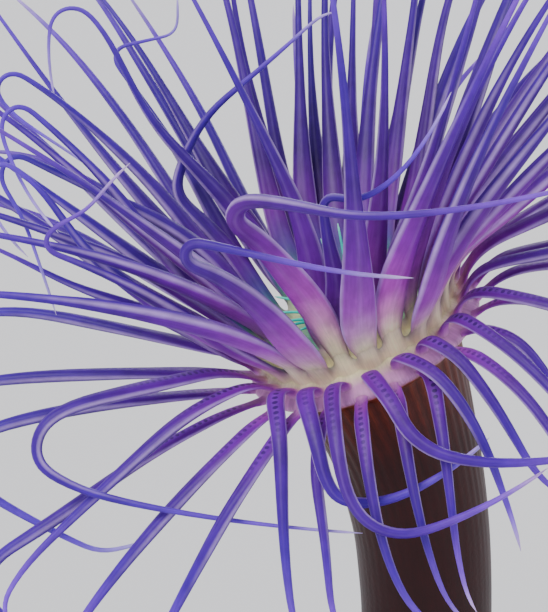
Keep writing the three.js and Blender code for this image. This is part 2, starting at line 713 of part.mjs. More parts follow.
function standBase() {
  const { radius, thickness, bevel, sides } = STAND;
  const edge = thickness - bevel;
  return turned(
    [[0, 0], [radius, 0], [radius, edge], [radius - bevel, thickness], [0, thickness]], sides);
}

/** One length of the column. */
function columnLength(name) {
  const [from, to] = COLUMN.cuts[name];
  const start = COLUMN.steps * from;
  const end = COLUMN.steps * to;
  const rings = [];
  for (let k = start; k <= end; k += COLUMN.ringEvery[name]) {
    const atStart = k === start;
    const atEnd = k >= end;
    let slide = 0;
    if (atStart) slide = from === 0 ? GAP : GAP / 2;
    if (atEnd) slide = to === 1 ? DISC.underside - GAP : -GAP / 2;
    const tangent = axis.tangents[k];
    const middle = axis.points[k].clone().addScaledVector(tangent, slide);
    const side = new THREE.Vector3(0, 1, 0).cross(tangent).normalize();
    const back = new THREE.Vector3().crossVectors(tangent, side);
    const ring = [];
    for (let s = 0; s < COLUMN.sides; s++) {
      const a = 2 * Math.PI * s / COLUMN.sides;
      ring.push(middle.clone().addScaledVector(side, columnRadii[k] * Math.cos(a))
        .addScaledVector(back, columnRadii[k] * Math.sin(a)));
    }
    rings.push(ring);
  }
  return loft(rings);
}

function oralDisc() {
  const { inner, outer, innerTop, outerTop, sag, underside, sides } = DISC;
  const middle = [(inner + outer) / 2, (innerTop + outerTop) / 2 - sag];
  const under = [inner, underside];
  return turned(
    [under, [outer, underside], [outer, outerTop], middle, [inner, innerTop], under], sides);
}

/** The low dome in the middle of the disc, with the mouth's slit cut into it. */
function mouth() {
  const { radius, crest, underside, rim, sides, slitLength, slitWidth, slitDepth } = MOUTH;
  const dome = turned(
    [[0, underside], [radius, underside], [radius, -rim], [radius * crest, rim], [0, rim]], sides);
  const slit = new THREE.SphereGeometry(1, ...MOUTH.slitFacets);
  slit.scale(slitLength / 2, slitWidth / 2, slitDepth);
  slit.translate(0, 0, rim);
  return fromSolid(toSolid(dome).subtract(toSolid(slit)));
}

/** One labial tentacle: three-sided, leaning out from the mouth like a jet of a fountain. */
function labialTentacle(cycle, azimuth, roll) {
  const { radii, lengths, thickness, tipThickness, launch, lieOut, steps, chance } = LABIAL;
  const { lipTop, rootDepth, sides } = LABIAL;
  const length = lengths[cycle] * (1 + chance.length * roll());
  const turn = chance.turn * roll();
  const rings = [];
  let middle = crownPoint(radii[cycle], azimuth, lipTop - rootDepth);
  for (let k = 0; k <= steps; k++) {
    const share = k / steps;
    const lift = radians(mix(launch, lieOut[cycle], share));
    const out = outward(azimuth + turn * share);
    const way = out.clone().multiplyScalar(Math.cos(lift)).addScaledVector(discUp, Math.sin(lift));
    if (k > 0) middle = middle.clone().addScaledVector(way, length / steps);
    const side = new THREE.Vector3().crossVectors(discUp, out).normalize();
    const face = new THREE.Vector3().crossVectors(way, side);
    const half = mix(thickness, tipThickness, share) / 2;
    const ring = [];
    for (let s = 0; s < sides; s++) {
      const a = 2 * Math.PI * s / sides;
      ring.push(middle.clone().addScaledVector(side, half * Math.cos(a))
        .addScaledVector(face, half * Math.sin(a)));
    }
    rings.push(ring);
  }
  return loft(rings);
}

/** A quarter of the lip about the mouth, with its labial tentacles. */
function labialQuarter(quarter, roll) {
  const { quarters, perCycle, straights, lipInner, lipOuter, lipTop, lipSlope } = LABIAL;
  const parting = degrees(GAP / lipInner);
  const span = 360 / quarters - parting;
  const from = 360 / quarters * quarter + parting / 2;
  const sections = Array.from({ length: straights + 1 }, (_, k) => {
    const azimuth = from + span * k / straights;
    return crownSection([lipInner, lipOuter], [azimuth, azimuth],
      [DISC.underside, DISC.underside], [lipTop, lipTop - lipSlope]);
  });
  const pieces = [loft(sections)];
  for (let k = 0; k < perCycle * 2; k++) {
    const azimuth = from + span * (k + 0.5) / (perCycle * 2);
    pieces.push(labialTentacle(k % 2, azimuth, roll));
  }
  return joinAll(pieces);
}

/** Which samples a solid needs so that its straight lengths stay near the centre line. */
function neededSamples(tentacle) {
  const keep = new Set([0, SAMPLES]);
  const reduce = (from, to) => {
    let worst = 0;
    let at = from;
    const start = tentacle.points[from];
    const span = tentacle.points[to].clone().sub(start);
    for (let k = from + 1; k < to; k++) {
      const share = (k - from) / (to - from);
      const offset = tentacle.points[k].clone().sub(start);
      const beside = offset.addScaledVector(span, -offset.dot(span) / span.lengthSq()).length();
      const straight = mix(tentacle.halfWidths[from], tentacle.halfWidths[to], share);
      const beyond = Math.max(beside, Math.abs(tentacle.halfWidths[k] - straight) / 2);
      const error = beyond / mix(...CHORD_ERROR, k / SAMPLES);
      if (error > worst) {
        worst = error;
        at = k;
      }
    }
    if (worst <= 1) return;
    keep.add(at);
    reduce(from, at);
    reduce(at, to);
  };
  reduce(0, SAMPLES);
  return [...keep].sort((a, b) => a - b);
}

/** A marginal tentacle as a four-sided blade that turns into a whip. */
function tentacleSolid(tentacle) {
  const rings = neededSamples(tentacle).map((k) => {
    const point = tentacle.points[k];
    const side = tentacle.sides[k].clone().multiplyScalar(tentacle.halfWidths[k]);
    const face = tentacle.faces[k].clone().multiplyScalar(tentacle.halfThicknesses[k] * FACE_SWELL);
    return [
      point.clone().add(side),
      point.clone().add(face),
      point.clone().sub(side),
      point.clone().sub(face),
    ];
  });
  return loft(rings);
}

/** The block of margin under a pair of tentacles, sheared so that it stays under both. */
function marginBlock(block, sector) {
  const { cycles, radii, under } = BLOCKS[block];
  const [near, far] = cycles.map((cycle) => CYCLES[cycle]);
  const shear = (far.shift - near.shift) / (far.root - near.root);
  const slant = Math.cos(Math.atan(radians(shear) * near.root));
  const top = radii.map((radius) => along(MARGIN_TOP, radius));
  const flank = (side) => radii.map((radius) => {
    const middle = SECTOR * sector + near.shift + shear * (radius - near.root);
    return middle + side * (SECTOR / 2 - degrees(GAP / 2 / slant / radius));
  });
  return loft([crownSection(radii, flank(-1), under, top), crownSection(radii, flank(1), under, top)]);
}

/** Two neighbouring tentacles of two cycles with the margin that they grow from. */
function marginalPair(block, sector, tentacles) {
  const pair = BLOCKS[block].cycles.map((cycle) => tentacleSolid(tentacles[cycle]));
  return joinAll([marginBlock(block, sector), ...pair]);
}

// ---------------------------------------------------------------------------------------------
// Assembly
// ---------------------------------------------------------------------------------------------

const FINISH = { roughness: 0.45, metalness: 0 };

function material(colour) {
  return new THREE.MeshStandardMaterial({ color: colour, flatShading: true, ...FINISH });
}

function addMesh(group, name, geometry, colour) {
  const mesh = new THREE.Mesh(geometry, material(colour));
  mesh.name = name;
  group.add(mesh);
}

const model = new THREE.Group();

addMesh(model, 'stand_base', standBase(), COLOURS.stand);

for (const name of Object.keys(COLUMN.cuts)) {
  addMesh(model, `column_${name}`, columnLength(name), COLOURS.column);
}

const crown = new THREE.Group();
crown.matrixAutoUpdate = false;
crown.matrix.makeBasis(discRight, discBack, discUp).setPosition(crownMiddle);
addMesh(crown, 'oral_disc', oralDisc(), COLOURS.disc);
addMesh(crown, 'mouth', mouth(), COLOURS.mouth);
model.add(crown);

const labialRoll = makeDice(CHANCE.seed);
for (let quarter = 0; quarter < LABIAL.quarters; quarter++) {
  const filaments = labialQuarter(quarter, labialRoll);
  addMesh(model, `labial_tentacles_${quarter + 1}`, filaments, COLOURS.labial);
}

makeTentacles().forEach((tentacles, sector) => {
  for (const block of Object.keys(BLOCKS)) {
    const name = `tentacles_${block}_${twoDigits(sector + 1)}`;
    addMesh(model, name, marginalPair(block, sector, tentacles), COLOURS[block]);
  }
});

export default model;
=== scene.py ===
"""Tube-dwelling anemone (Ceriantharia), life size, on a plain round stand.

The visible surface, its materials, the floor, the lights and the camera. One skin stands for the
whole animal. Its centre lines come from the same rules as the solids of the CAD model. Shapes are
worked out in millimetres and made in metres. The front of the animal faces -Y.
"""

import math
from functools import reduce

import bpy
import numpy as np
from mathutils import Matrix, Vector
from mathutils.kdtree import KDTree


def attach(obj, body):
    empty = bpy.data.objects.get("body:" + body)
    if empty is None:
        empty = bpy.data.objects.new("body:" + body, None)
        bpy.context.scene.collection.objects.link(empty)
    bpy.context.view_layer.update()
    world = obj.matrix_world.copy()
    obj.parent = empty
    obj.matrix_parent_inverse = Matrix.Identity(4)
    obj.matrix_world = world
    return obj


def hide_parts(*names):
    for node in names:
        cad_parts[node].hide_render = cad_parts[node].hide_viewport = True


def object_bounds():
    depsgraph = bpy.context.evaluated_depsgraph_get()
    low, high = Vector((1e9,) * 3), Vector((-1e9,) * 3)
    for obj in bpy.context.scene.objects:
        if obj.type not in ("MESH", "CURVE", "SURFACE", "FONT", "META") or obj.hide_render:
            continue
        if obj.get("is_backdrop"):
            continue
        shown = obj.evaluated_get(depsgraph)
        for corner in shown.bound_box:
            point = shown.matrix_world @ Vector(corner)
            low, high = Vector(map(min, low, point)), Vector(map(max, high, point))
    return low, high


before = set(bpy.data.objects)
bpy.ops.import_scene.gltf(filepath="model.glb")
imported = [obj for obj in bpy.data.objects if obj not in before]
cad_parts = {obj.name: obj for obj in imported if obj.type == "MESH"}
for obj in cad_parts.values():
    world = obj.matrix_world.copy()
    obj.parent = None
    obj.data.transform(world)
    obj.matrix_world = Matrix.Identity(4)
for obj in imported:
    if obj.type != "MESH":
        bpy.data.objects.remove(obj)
CAD_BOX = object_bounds()
MM = 0.001


# ======== Driving dimensions of the CAD model ========

STAND = {"radius": 85, "thickness": 14, "bevel": 2}

COLUMN = {
    "length": 190,  # along the axis, from the foot to the middle of the disc
    "bend_start": 0.5,  # share of the length that stands straight up
    "lean_left": 24,  # degrees by which the disc tips to the left
    "lean_front": 16,  # degrees by which the disc tips to the front
    "steps": 48,
    # share of the length, radius
    "radii": [
        (0, 8), (0.02, 11.5), (0.06, 14.5), (0.15, 16.5), (0.35, 17), (0.6, 17), (0.8, 18.8),
        (0.93, 22), (1, 22.8),
    ],
}

LABIAL = {
    "quarters": 4,
    "per_cycle": 5,  # tentacles of one cycle in a quarter
    "parting": 0.3,  # gap between two quarters of the lip
    "lip_inner": 3.3,
    "lip_top": 0.2,
    "radii": (4.1, 5.5),
    "lengths": (21, 16.4),
    "thickness": 1.3,
    "tip_thickness": 0.7,
    "launch": 84,  # degrees above the disc at the root
    "lie_out": (58, 22),  # degrees above the disc at the tip
    "steps": 2,
    "root_depth": 1.4,
    "length_chance": 0.12,
    "turn_chance": 5,
}

# The margin's cross section: distance from the disc's middle, height above the disc's plane.
MARGIN_TOP = [(0, -1.5), (16.5, 1), (19.9, 0.6), (23.1, -0.9), (26.4, -3), (29.6, -5.2)]

# The four cycles of marginal tentacles, from the innermost outwards. "outward" leans a cycle's
# roots out by degrees, a fan over 1 spreads its headings away from the vertical and "slim" is what
# its widths are multiplied by.
SECTORS = 24
SECTOR = 360 / SECTORS
CYCLES = [
    {"pose": "inner", "root": 19.3, "shift": 0, "outward": -4, "fan": 0.97, "slim": 0.9},
    {"pose": "inner", "root": 22.4, "shift": SECTOR / 2, "outward": 6, "fan": 1.18, "slim": 1.05},
    {"pose": "middle", "root": 25.5, "shift": SECTOR / 4, "outward": 0, "fan": 1, "slim": 1},
    {"pose": "low", "root": 28.2, "shift": SECTOR * 3 / 4, "outward": 0, "fan": 1, "slim": 1},
]
ROOT_DEPTH = 1.6  # how deep a tentacle's root sits in the margin

# A tentacle's outline: share of the length, share of the greatest width. A broad tentacle is a
# leaf that draws in to a whip, and a narrow one tapers evenly like a strap.
LEAF = [
    (0, 0.47), (0.04, 0.58), (0.08, 0.82), (0.12, 0.96), (0.15, 1), (0.21, 0.95), (0.3, 0.7),
    (0.4, 0.45), (0.54, 0.26), (0.7, 0.17), (0.85, 0.12), (1, 0.08),
]
STRAP = [
    (0, 0.6), (0.06, 0.86), (0.12, 1), (0.3, 0.8), (0.5, 0.6), (0.7, 0.44), (0.85, 0.3), (1, 0.16),
]
STRAP_WIDTH = 4.8  # a tentacle this wide or less is a strap
LEAF_WIDTH = 7  # a tentacle this wide or more is a leaf
LEAF_FLATNESS = 0.44  # thickness of the leaf over its width
ROUND_FROM = 0.5  # share of the length from where the whip is round
THINNEST = 0.36  # half the thickness of the thinnest whip
SAMPLES = 56  # steps along a tentacle's centre line
SHARES = np.arange(SAMPLES + 1) / SAMPLES

# ======== Poses ========

# A heading is a pair of angles in degrees: the turn in the XZ plane (0 right, 90 up, 180 left,
# 270 down) and the tilt towards the front. Each row of a pose is an azimuth on the margin
# (0 right, 90 back, 180 left, 270 front), the headings at four stations along the tentacle,
# its length, its greatest width and the angle at which it leaves the disc. Azimuths between
# two rows blend them.

STATIONS = (0.18, 0.45, 0.72, 1)
POSES = {
    "inner": [
        (0, (50, -4), (50, -6), (44, -4), (32, 0), 112, 7, 66),
        (45, (72, -26), (74, -32), (71, -25), (64, -10), 118, 6.6, 66),
        (90, (93, -28), (90, -32), (90, -25), (93, -10), 124, 6.6, 66),
        (135, (117, -20), (114, -26), (117, -18), (126, -5), 128, 7, 66),
        (180, (134, 2), (134, -4), (138, 0), (150, 5), 124, 7.4, 66),
        (225, (143, 26), (146, 16), (148, 10), (160, 10), 118, 8.4, 70),
        (270, (112, 36), (122, 12), (127, 4), (138, 0), 120, 8.8, 80),
        (315, (78, 34), (66, 12), (62, 4), (58, 0), 112, 8.2, 74),
    ],
    "middle": [
        (0, (24, 0), (20, 2), (6, 2), (-16, 0), 108, 6.2, 55),
        (45, (52, -36), (46, -30), (38, -20), (22, -5), 114, 5, 55),
        (90, (92, -48), (88, -45), (88, -34), (82, -10), 122, 5, 55),
        (135, (133, -26), (126, -30), (132, -20), (146, 0), 124, 5.4, 55),
        (180, (158, 4), (154, -2), (160, 2), (172, 5), 120, 7, 52),
        (225, (178, 34), (176, 16), (182, 8), (196, 4), 118, 7.4, 46),
        (270, (262, 58), (274, 22), (284, 2), (316, -8), 92, 4, 46),
        (315, (336, 44), (316, 26), (306, 8), (312, 0), 84, 4.2, 50),
    ],
    "low": [
        (0, (8, 0), (-8, 0), (-34, 0), (-56, 0), 98, 4.8, 30),
        (45, (34, -46), (26, -38), (8, -24), (-16, -5), 106, 4.4, 30),
        (90, (90, -70), (86, -62), (84, -44), (74, -12), 112, 4.4, 30),
        (135, (150, -40), (146, -38), (160, -24), (190, 0), 118, 4.8, 30),
        (180, (182, 4), (188, -4), (204, 0), (238, 5), 114, 5.6, 26),
        (225, (212, 36), (220, 14), (228, 4), (262, -4), 104, 5.2, 10),
        (270, (266, 44), (272, 12), (284, -6), (322, -14), 84, 3.6, 4),
        (315, (330, 38), (304, 18), (290, 0), (306, 0), 78, 3.8, 12),
    ],
}

# Tentacles that hook, coil back or droop in a way of their own, by the cycle and the sector, both
# counted from 1. Each has a length, a greatest width and headings as (station, turn, tilt).
POSED_BY_HAND = {
    # hooked tips on the left
    (1, 10): (119, 6.4, [(0.15, 122, 0), (0.4, 132, 2), (0.62, 115, 2), (0.74, 130, 2),
        (0.8, 190, 4), (0.86, 262, 6), (1, 284, 8)]),
    (1, 11): (104, 6.2, [(0.15, 124, -10), (0.36, 138, -6), (0.41, 110, -4), (0.45, 78, 0),
        (0.56, 60, 2), (0.7, 40, 2), (0.92, 42, 2), (1, 4, 2)]),
    (2, 10): (108, 6.6, [(0.15, 120, -14), (0.45, 124, -18), (0.72, 128, -14), (0.76, 70, -8),
        (0.785, 14, -8), (0.88, 12, -8), (0.91, 60, -8), (0.94, 90, -8), (1, 92, -8)]),
    (1, 12): (130, 7.4, [(0.15, 124, 4), (0.4, 134, 4), (0.68, 148, 4), (0.72, 215, 6),
        (0.77, 308, 8), (0.86, 328, 10), (1, 326, 10)]),
    (2, 14): (108, 8, [(0.15, 141, 14), (0.42, 146, 10), (0.6, 130, 8), (0.74, 146, 6),
        (0.81, 255, 4), (0.88, 298, 6), (1, 320, 8)]),
    (2, 13): (122, 7.6, [(0.15, 128, 12), (0.45, 132, 8), (0.68, 138, 8), (0.74, 240, 12),
        (0.79, 290, 16), (0.9, 302, 22), (1, 312, 24)]),
    (1, 13): (120, 7.4, [(0.15, 124, 16), (0.4, 150, 8), (0.64, 150, 6), (0.7, 250, 8),
        (0.75, 304, 8), (0.85, 290, 6), (1, 288, 6)]),
    (2, 15): (94, 7.8, [(0.15, 140, 20), (0.45, 152, 12), (0.68, 160, 6), (0.75, 45, 8),
        (0.8, 26, 8), (0.9, 50, 6), (1, 42, 4)]),
    (3, 13): (92, 7, [(0.18, 146, 10), (0.45, 160, 6), (0.65, 152, 4), (0.82, 158, 4),
        (1, 192, 4)]),
    # straight leaves on the left
    (1, 15): (122, 6.6, [(0.15, 147, 8), (0.4, 156, 2), (0.75, 164, 0), (1, 176, 0)]),
    (1, 16): (120, 7.8, [(0.15, 146, 14), (0.4, 160, 6), (0.7, 169, 2), (1, 172, 0)]),
    (2, 16): (118, 9, [(0.15, 152, 22), (0.35, 166, 10), (0.7, 176, 4), (1, 180, 0)]),
    # long droopers at the lower left
    (3, 15): (100, 6, [(0.15, 200, 22), (0.35, 220, 10), (0.65, 224, 6), (0.8, 240, 4),
        (0.88, 290, 4), (1, 322, 4)]),
    (4, 15): (92, 5.2, [(0.15, 220, 26), (0.4, 227, 10), (0.7, 234, 4), (0.85, 240, 4),
        (1, 300, 4)]),
    (4, 16): (84, 5, [(0.15, 232, 30), (0.4, 239, 10), (0.7, 243, 0), (1, 256, -4)]),
    (4, 13): (124, 5.4, [(0.15, 180, 24), (0.33, 187, 10), (0.5, 197, 6), (0.57, 250, 6),
        (0.63, 300, 6), (0.7, 330, 6), (0.86, 336, 4), (0.93, 372, 4), (1, 384, 4)]),
    (4, 14): (132, 5.2, [(0.15, 205, 20), (0.35, 214, 10), (0.52, 212, 6), (0.6, 260, 6),
        (0.67, 318, 6), (0.8, 336, 4), (0.9, 372, 2), (1, 392, 0)]),
    (3, 14): (142, 6.4, [(0.15, 188, 24), (0.3, 192, 14), (0.36, 205, 12), (0.43, 262, 12),
        (0.49, 330, 12), (0.62, 350, 10), (1, 358, 6)]),
    # leaves that stand over the front of the disc, one with a hairpin and two that reach across
    (1, 17): (116, 7.2, [(0.1, 143, 18), (0.3, 140, 8), (0.72, 146, 4), (1, 154, 0)]),
    (2, 17): (104, 9.4, [(0.12, 116, 36), (0.24, 130, 30), (0.4, 148, 22), (0.47, 158, 20),
        (0.51, 90, 20), (0.56, -8, 20), (0.7, -12, 14), (1, -2, 6)]),
    (1, 18): (118, 7.4, [(0.14, 92, 8), (0.3, 110, -2), (0.45, 117, -2), (0.72, 118, 0),
        (1, 122, 0)]),
    (2, 18): (154, 8, [(0.09, 114, 38), (0.18, 125, 32), (0.28, 130, 26), (0.335, 140, 26),
        (0.37, 60, 30), (0.41, 2, 32), (0.5, -6, 32), (0.62, 8, 30), (1, 22, 22)]),
    (1, 19): (82, 6.6, [(0.2, 92, 30), (0.34, 106, 20), (0.5, 98, 14), (0.56, -8, 14),
        (0.66, 32, 12), (0.8, 54, 10), (1, 68, 6)]),
    (2, 19): (116, 9, [(0.14, 91, 36), (0.3, 95, 16), (0.7, 98, 2), (1, 104, -4)]),
    (1, 20): (112, 7.4, [(0.14, 84, 13), (0.4, 88, 0), (0.7, 92, -4), (1, 96, -6)]),
    (2, 20): (114, 9, [(0.14, 80, 32), (0.34, 71, 14), (0.7, 66, 4), (1, 62, 0)]),
    (1, 21): (110, 6.8, [(0.14, 73, 8), (0.4, 76, -4), (0.7, 76, -6), (1, 72, -8)]),
    # droopers that arch over the front of the margin
    (4, 17): (66, 3.9, [(0.18, 262, 40), (0.35, 276, 14), (0.65, 274, 4), (0.85, 294, 0),
        (1, 316, 0)]),
    (3, 16): (76, 4.6, [(0.18, 278, 52), (0.38, 272, 18), (0.7, 277, 6), (1, 296, 0)]),
    (4, 18): (74, 3.8, [(0.18, 276, 38), (0.4, 282, 10), (0.62, 294, 0), (0.8, 322, -4),
        (1, 358, -6)]),
    (3, 17): (72, 4.6, [(0.18, 286, 50), (0.34, 281, 18), (0.43, 300, 10), (0.52, 352, 4),
        (0.7, 384, 0), (1, 404, -6)]),
    (4, 19): (64, 3.8, [(0.18, 278, 36), (0.5, 283, 6), (0.75, 290, -2), (1, 324, -8)]),
    (3, 18): (86, 4.4, [(0.18, 274, 50), (0.34, 282, 16), (0.44, 302, 6), (0.52, 335, 2),
        (0.66, 378, -4), (1, 394, -8)]),
    (4, 20): (62, 3.8, [(0.18, 280, 36), (0.6, 277, 4), (0.85, 284, -4), (1, 302, -8)]),
    (3, 19): (76, 4.6, [(0.18, 314, 46), (0.27, 300, 24), (0.37, 325, 12), (0.5, 352, 4),
        (0.75, 366, -2), (1, 380, -8)]),
    (3, 20): (60, 4.4, [(0.18, 345, 42), (0.34, 312, 22), (0.6, 296, 8), (1, 282, 2)]),
    (3, 21): (60, 4.2, [(0.18, 340, 36), (0.36, 306, 18), (0.65, 299, 4), (0.85, 320, 0),
        (1, 332, 0)]),
    (4, 22): (52, 3.8, [(0.18, 352, 34), (0.4, 310, 16), (0.7, 298, 4), (1, 300, 0)]),
}

# How much chance varies a tentacle that isn't posed by hand. Its tip carries on a share of what
# chance does to its root.
CHANCE = {
    "seed": 7,
    "spread": (3, 5, 8, 20),  # degrees at each station
    "carried": 0.5,
    "station": 0.05,
    "length": 0.08,
    "width": 0.08,
}

# How tentacles are moved apart until none touches another, the margin or the column.
SETTLE = {
    "rounds": 84,
    "refresh": 12,  # rounds between two searches for neighbours
    "reach": 11,  # neighbours are sought this near
    "clearance": [1, 2.2],  # at the root and at the tip
    "stiff_root": 0.08,  # share of the length over which a tentacle starts to give way
    "haste": 3.2,  # share of each needed move that a round makes, over 1 as moves are averaged
    "smoothing": 6,  # passes that smooth each round's moves and the whole drift
    "lip": {"ring": 26.5, "height": -6, "roll": 4},  # the margin's rolled edge, as a ring
    "column_margin": 1,
}


# ======== Small helpers ========

def smooth(x):
    u = np.clip(x, 0, 1)
    return u * u * (3 - 2 * u)


def mix(a, b, share):
    return a + (b - a) * share


def rise(x, start, full):
    """Rises smoothly from 0 at start to 1 at full."""
    return smooth((x - start) / (full - start))


def between(x, start, full, still, end):
    """Rises smoothly from 0 at start to 1 at full, and falls from 1 at still to 0 at end."""
    return rise(x, start, full) * (1 - rise(x, still, end))


def circle(sides):
    """The angles of evenly spaced points round a circle, without the last, which is the first."""
    return 2 * math.pi * np.arange(sides) / sides


def along(pairs, x):
    """The value at x of a line through (x, value) pairs."""
    places, values = zip(*pairs)
    return np.interp(x, places, values)


def unit(vectors):
    vectors = np.asarray(vectors, float)
    return vectors / np.linalg.norm(vectors, axis=-1, keepdims=True)


def square_to(tangents, sides):
    """The unit vectors nearest to sides that are square to the tangents."""
    return unit(sides - tangents * (sides * tangents).sum(-1, keepdims=True))


def path(start, ways, length):
    """The points of a line of the given length that starts out and goes on along the ways."""
    steps = unit(ways[:-1] + ways[1:]) * length / (len(ways) - 1)
    return start + np.vstack([np.zeros((1, 3)), np.cumsum(steps, axis=0)])


def make_dice(seed):
    """Portable random numbers from -1 to 1, the same as in the CAD model."""

    def roll():
        nonlocal seed
        seed = (seed * 1664525 + 1013904223) % 4294967296
        return seed / 4294967296 * 2 - 1

    return roll


def heading(turn, tilt):
    """Directions from their turns in the XZ plane and their tilts towards the front."""
    a, b = np.radians(turn), np.radians(tilt)
    return np.stack([np.cos(b) * np.cos(a), -np.sin(b), np.cos(b) * np.sin(a)], axis=-1)


# ======== The crown's frame and the column's axis ========

DISC_UP = unit([*-np.tan(np.radians([COLUMN["lean_left"], COLUMN["lean_front"]])), 1])
RIGHT = np.array([1, 0, 0])
DISC_RIGHT = square_to(DISC_UP, RIGHT)
DISC_BACK = np.cross(DISC_UP, DISC_RIGHT)


def column_axis():
    lean = math.acos(DISC_UP[2])
    lean_way = unit([DISC_UP[0], DISC_UP[1], 0])
    shares = np.arange(COLUMN["steps"] + 1) / COLUMN["steps"]
    bends = lean * rise(shares, COLUMN["bend_start"], 1)
    tangents = np.outer(np.cos(bends), [0, 0, 1]) + np.outer(np.sin(bends), lean_way)
    return path(np.array([0, 0, STAND["thickness"]]), tangents, COLUMN["length"]), tangents


AXIS_POINTS, AXIS_TANGENTS = column_axis()
CROWN_MIDDLE = AXIS_POINTS[-1]


def outward(azimuth):
    a = np.radians(azimuth)
    return np.multiply.outer(np.cos(a), DISC_RIGHT) + np.multiply.outer(np.sin(a), DISC_BACK)


def crown_point(radius, azimuth, height):
    """A point of the crown from its distance to the middle, azimuth and height over the disc."""
    return CROWN_MIDDLE + outward(azimuth) * radius + DISC_UP * height


# ======== Marginal tentacles: centre lines ========

def pose_at(name, azimuth):
    """Blends the pose's rows at an azimuth: the headings, length, width and launch."""
    rows = POSES[name]
    span = 360 / len(rows)
    index = int(azimuth // span) % len(rows)
    here, there = rows[index], rows[(index + 1) % len(rows)]
    share = smooth((azimuth - here[0]) / span)
    headings = []
    for station, (turn, tilt), (next_turn, next_tilt) in zip(STATIONS, here[1:5], there[1:5]):
        shorter_way = (next_turn - turn + 180) % 360 - 180
        headings.append((station, turn + shorter_way * share, mix(tilt, next_tilt, share)))
    return headings, *(mix(a, b, share) for a, b in zip(here[5:], there[5:]))


def vary_headings(headings, azimuth, cycle, rolls):
    """Varies the blended headings by chance and by the cycle's own outward lean and fan."""
    a = math.radians(azimuth)
    varied = []
    for k, (station, turn, tilt) in enumerate(headings):
        spread = CHANCE["spread"][k]
        turn_roll, tilt_roll = rolls[0], rolls[2]
        if k > 1:
            turn_roll = CHANCE["carried"] * turn_roll + rolls[1]
            tilt_roll = CHANCE["carried"] * tilt_roll + rolls[3]
        at = station + CHANCE["station"] * rolls[4] if k in (1, 2) else station
        leaning = cycle["outward"] * (1 - at)
        varied.append((
            at,
            90 + (turn - 90) * cycle["fan"] + spread * turn_roll - leaning * math.cos(a),
            tilt + spread * tilt_roll - leaning * math.sin(a),
        ))
    return varied


def eased(stations, values, places):
    """Smooth values at places, through the values at the stations and never overshooting them."""
    chords = np.diff(values) / np.diff(stations)
    product = chords[:-1] * chords[1:]
    inner = 2 * product / np.where(product > 0, chords[:-1] + chords[1:], np.inf)
    slopes = np.concatenate([chords[:1], inner, chords[-1:]])
    k = np.searchsorted(stations[1:-1], places)
    span = stations[k + 1] - stations[k]
    u = (places - stations[k]) / span
    bow = span * u * (1 - u) * ((1 - u) * slopes[k] - u * slopes[k + 1])
    return mix(values[k], values[k + 1], smooth(u)) + bow


def centre_line(tentacle):
    """The points of a tentacle's home line, which starts at its launch and takes its headings."""
    stations, turns, tilts = np.array(tentacle["headings"], float).T
    places = np.maximum(SHARES, stations[0])
    ways = heading(eased(stations, turns, places), eased(stations, tilts, places))
    ways = unit(mix(tentacle["launch_way"], ways, smooth(SHARES / stations[0])[:, None]))
    return path(tentacle["root"], ways, tentacle["length"])


def make_tentacle(cycle, sector, roll):
    facts = CYCLES[cycle]
    azimuth = SECTOR * sector + facts["shift"]
    rolls = [roll() for _ in range(7)]
    headings, length, width, launch = pose_at(facts["pose"], azimuth)
    out = outward(azimuth)
    lift = math.radians(launch)
    height = along(MARGIN_TOP, facts["root"]) - ROOT_DEPTH
    tentacle = {
        "cycle": cycle,
        "azimuth": azimuth,
        "root": crown_point(facts["root"], azimuth, height),
        "first_side": np.cross(DISC_UP, out),
        "launch_way": out * math.cos(lift) + DISC_UP * math.sin(lift),
    }
    form = POSED_BY_HAND.get((cycle + 1, sector + 1)) or (
        length * (1 + CHANCE["length"] * rolls[5]),
        width * facts["slim"] * (1 + CHANCE["width"] * rolls[6]),
        vary_headings(headings, azimuth, facts, rolls),
    )
    tentacle.update(zip(("length", "width", "headings"), form))
    return tentacle


# ======== Marginal tentacles: settling ========

MARGIN_COVERS = 3  # points of the column's axis at its top that the margin covers


def carry_frames(points, first_sides):
    """Side and face directions carried along many lines at once, without twist."""
    last = points.shape[1] - 1
    sides = np.empty_like(points)
    faces = np.empty_like(points)
    side = first_sides
    for k in range(last + 1):
        tangent = unit(points[:, min(k + 1, last)] - points[:, max(k - 1, 0)])
        side = square_to(tangent, side)
        sides[:, k] = side
        faces[:, k] = np.cross(tangent, side)
    return sides, faces


def find_neighbours(points):
    """Flat numbers of the samples of different tentacles that lie within reach of each other."""
    count, samples, _ = points.shape
    flat = points.reshape(-1, 3)
    squares = (flat * flat).sum(-1)
    firsts = []
    seconds = []
    for i in range(count - 1):
        own = slice(i * samples, (i + 1) * samples)
        others = (i + 1) * samples
        apart = squares[own, None] + squares[None, others:] - 2 * flat[own] @ flat[others:].T
        a, b = np.nonzero(apart < SETTLE["reach"] ** 2)
        firsts.append(a + i * samples)
        seconds.append(b + others)
    return np.concatenate(firsts), np.concatenate(seconds)


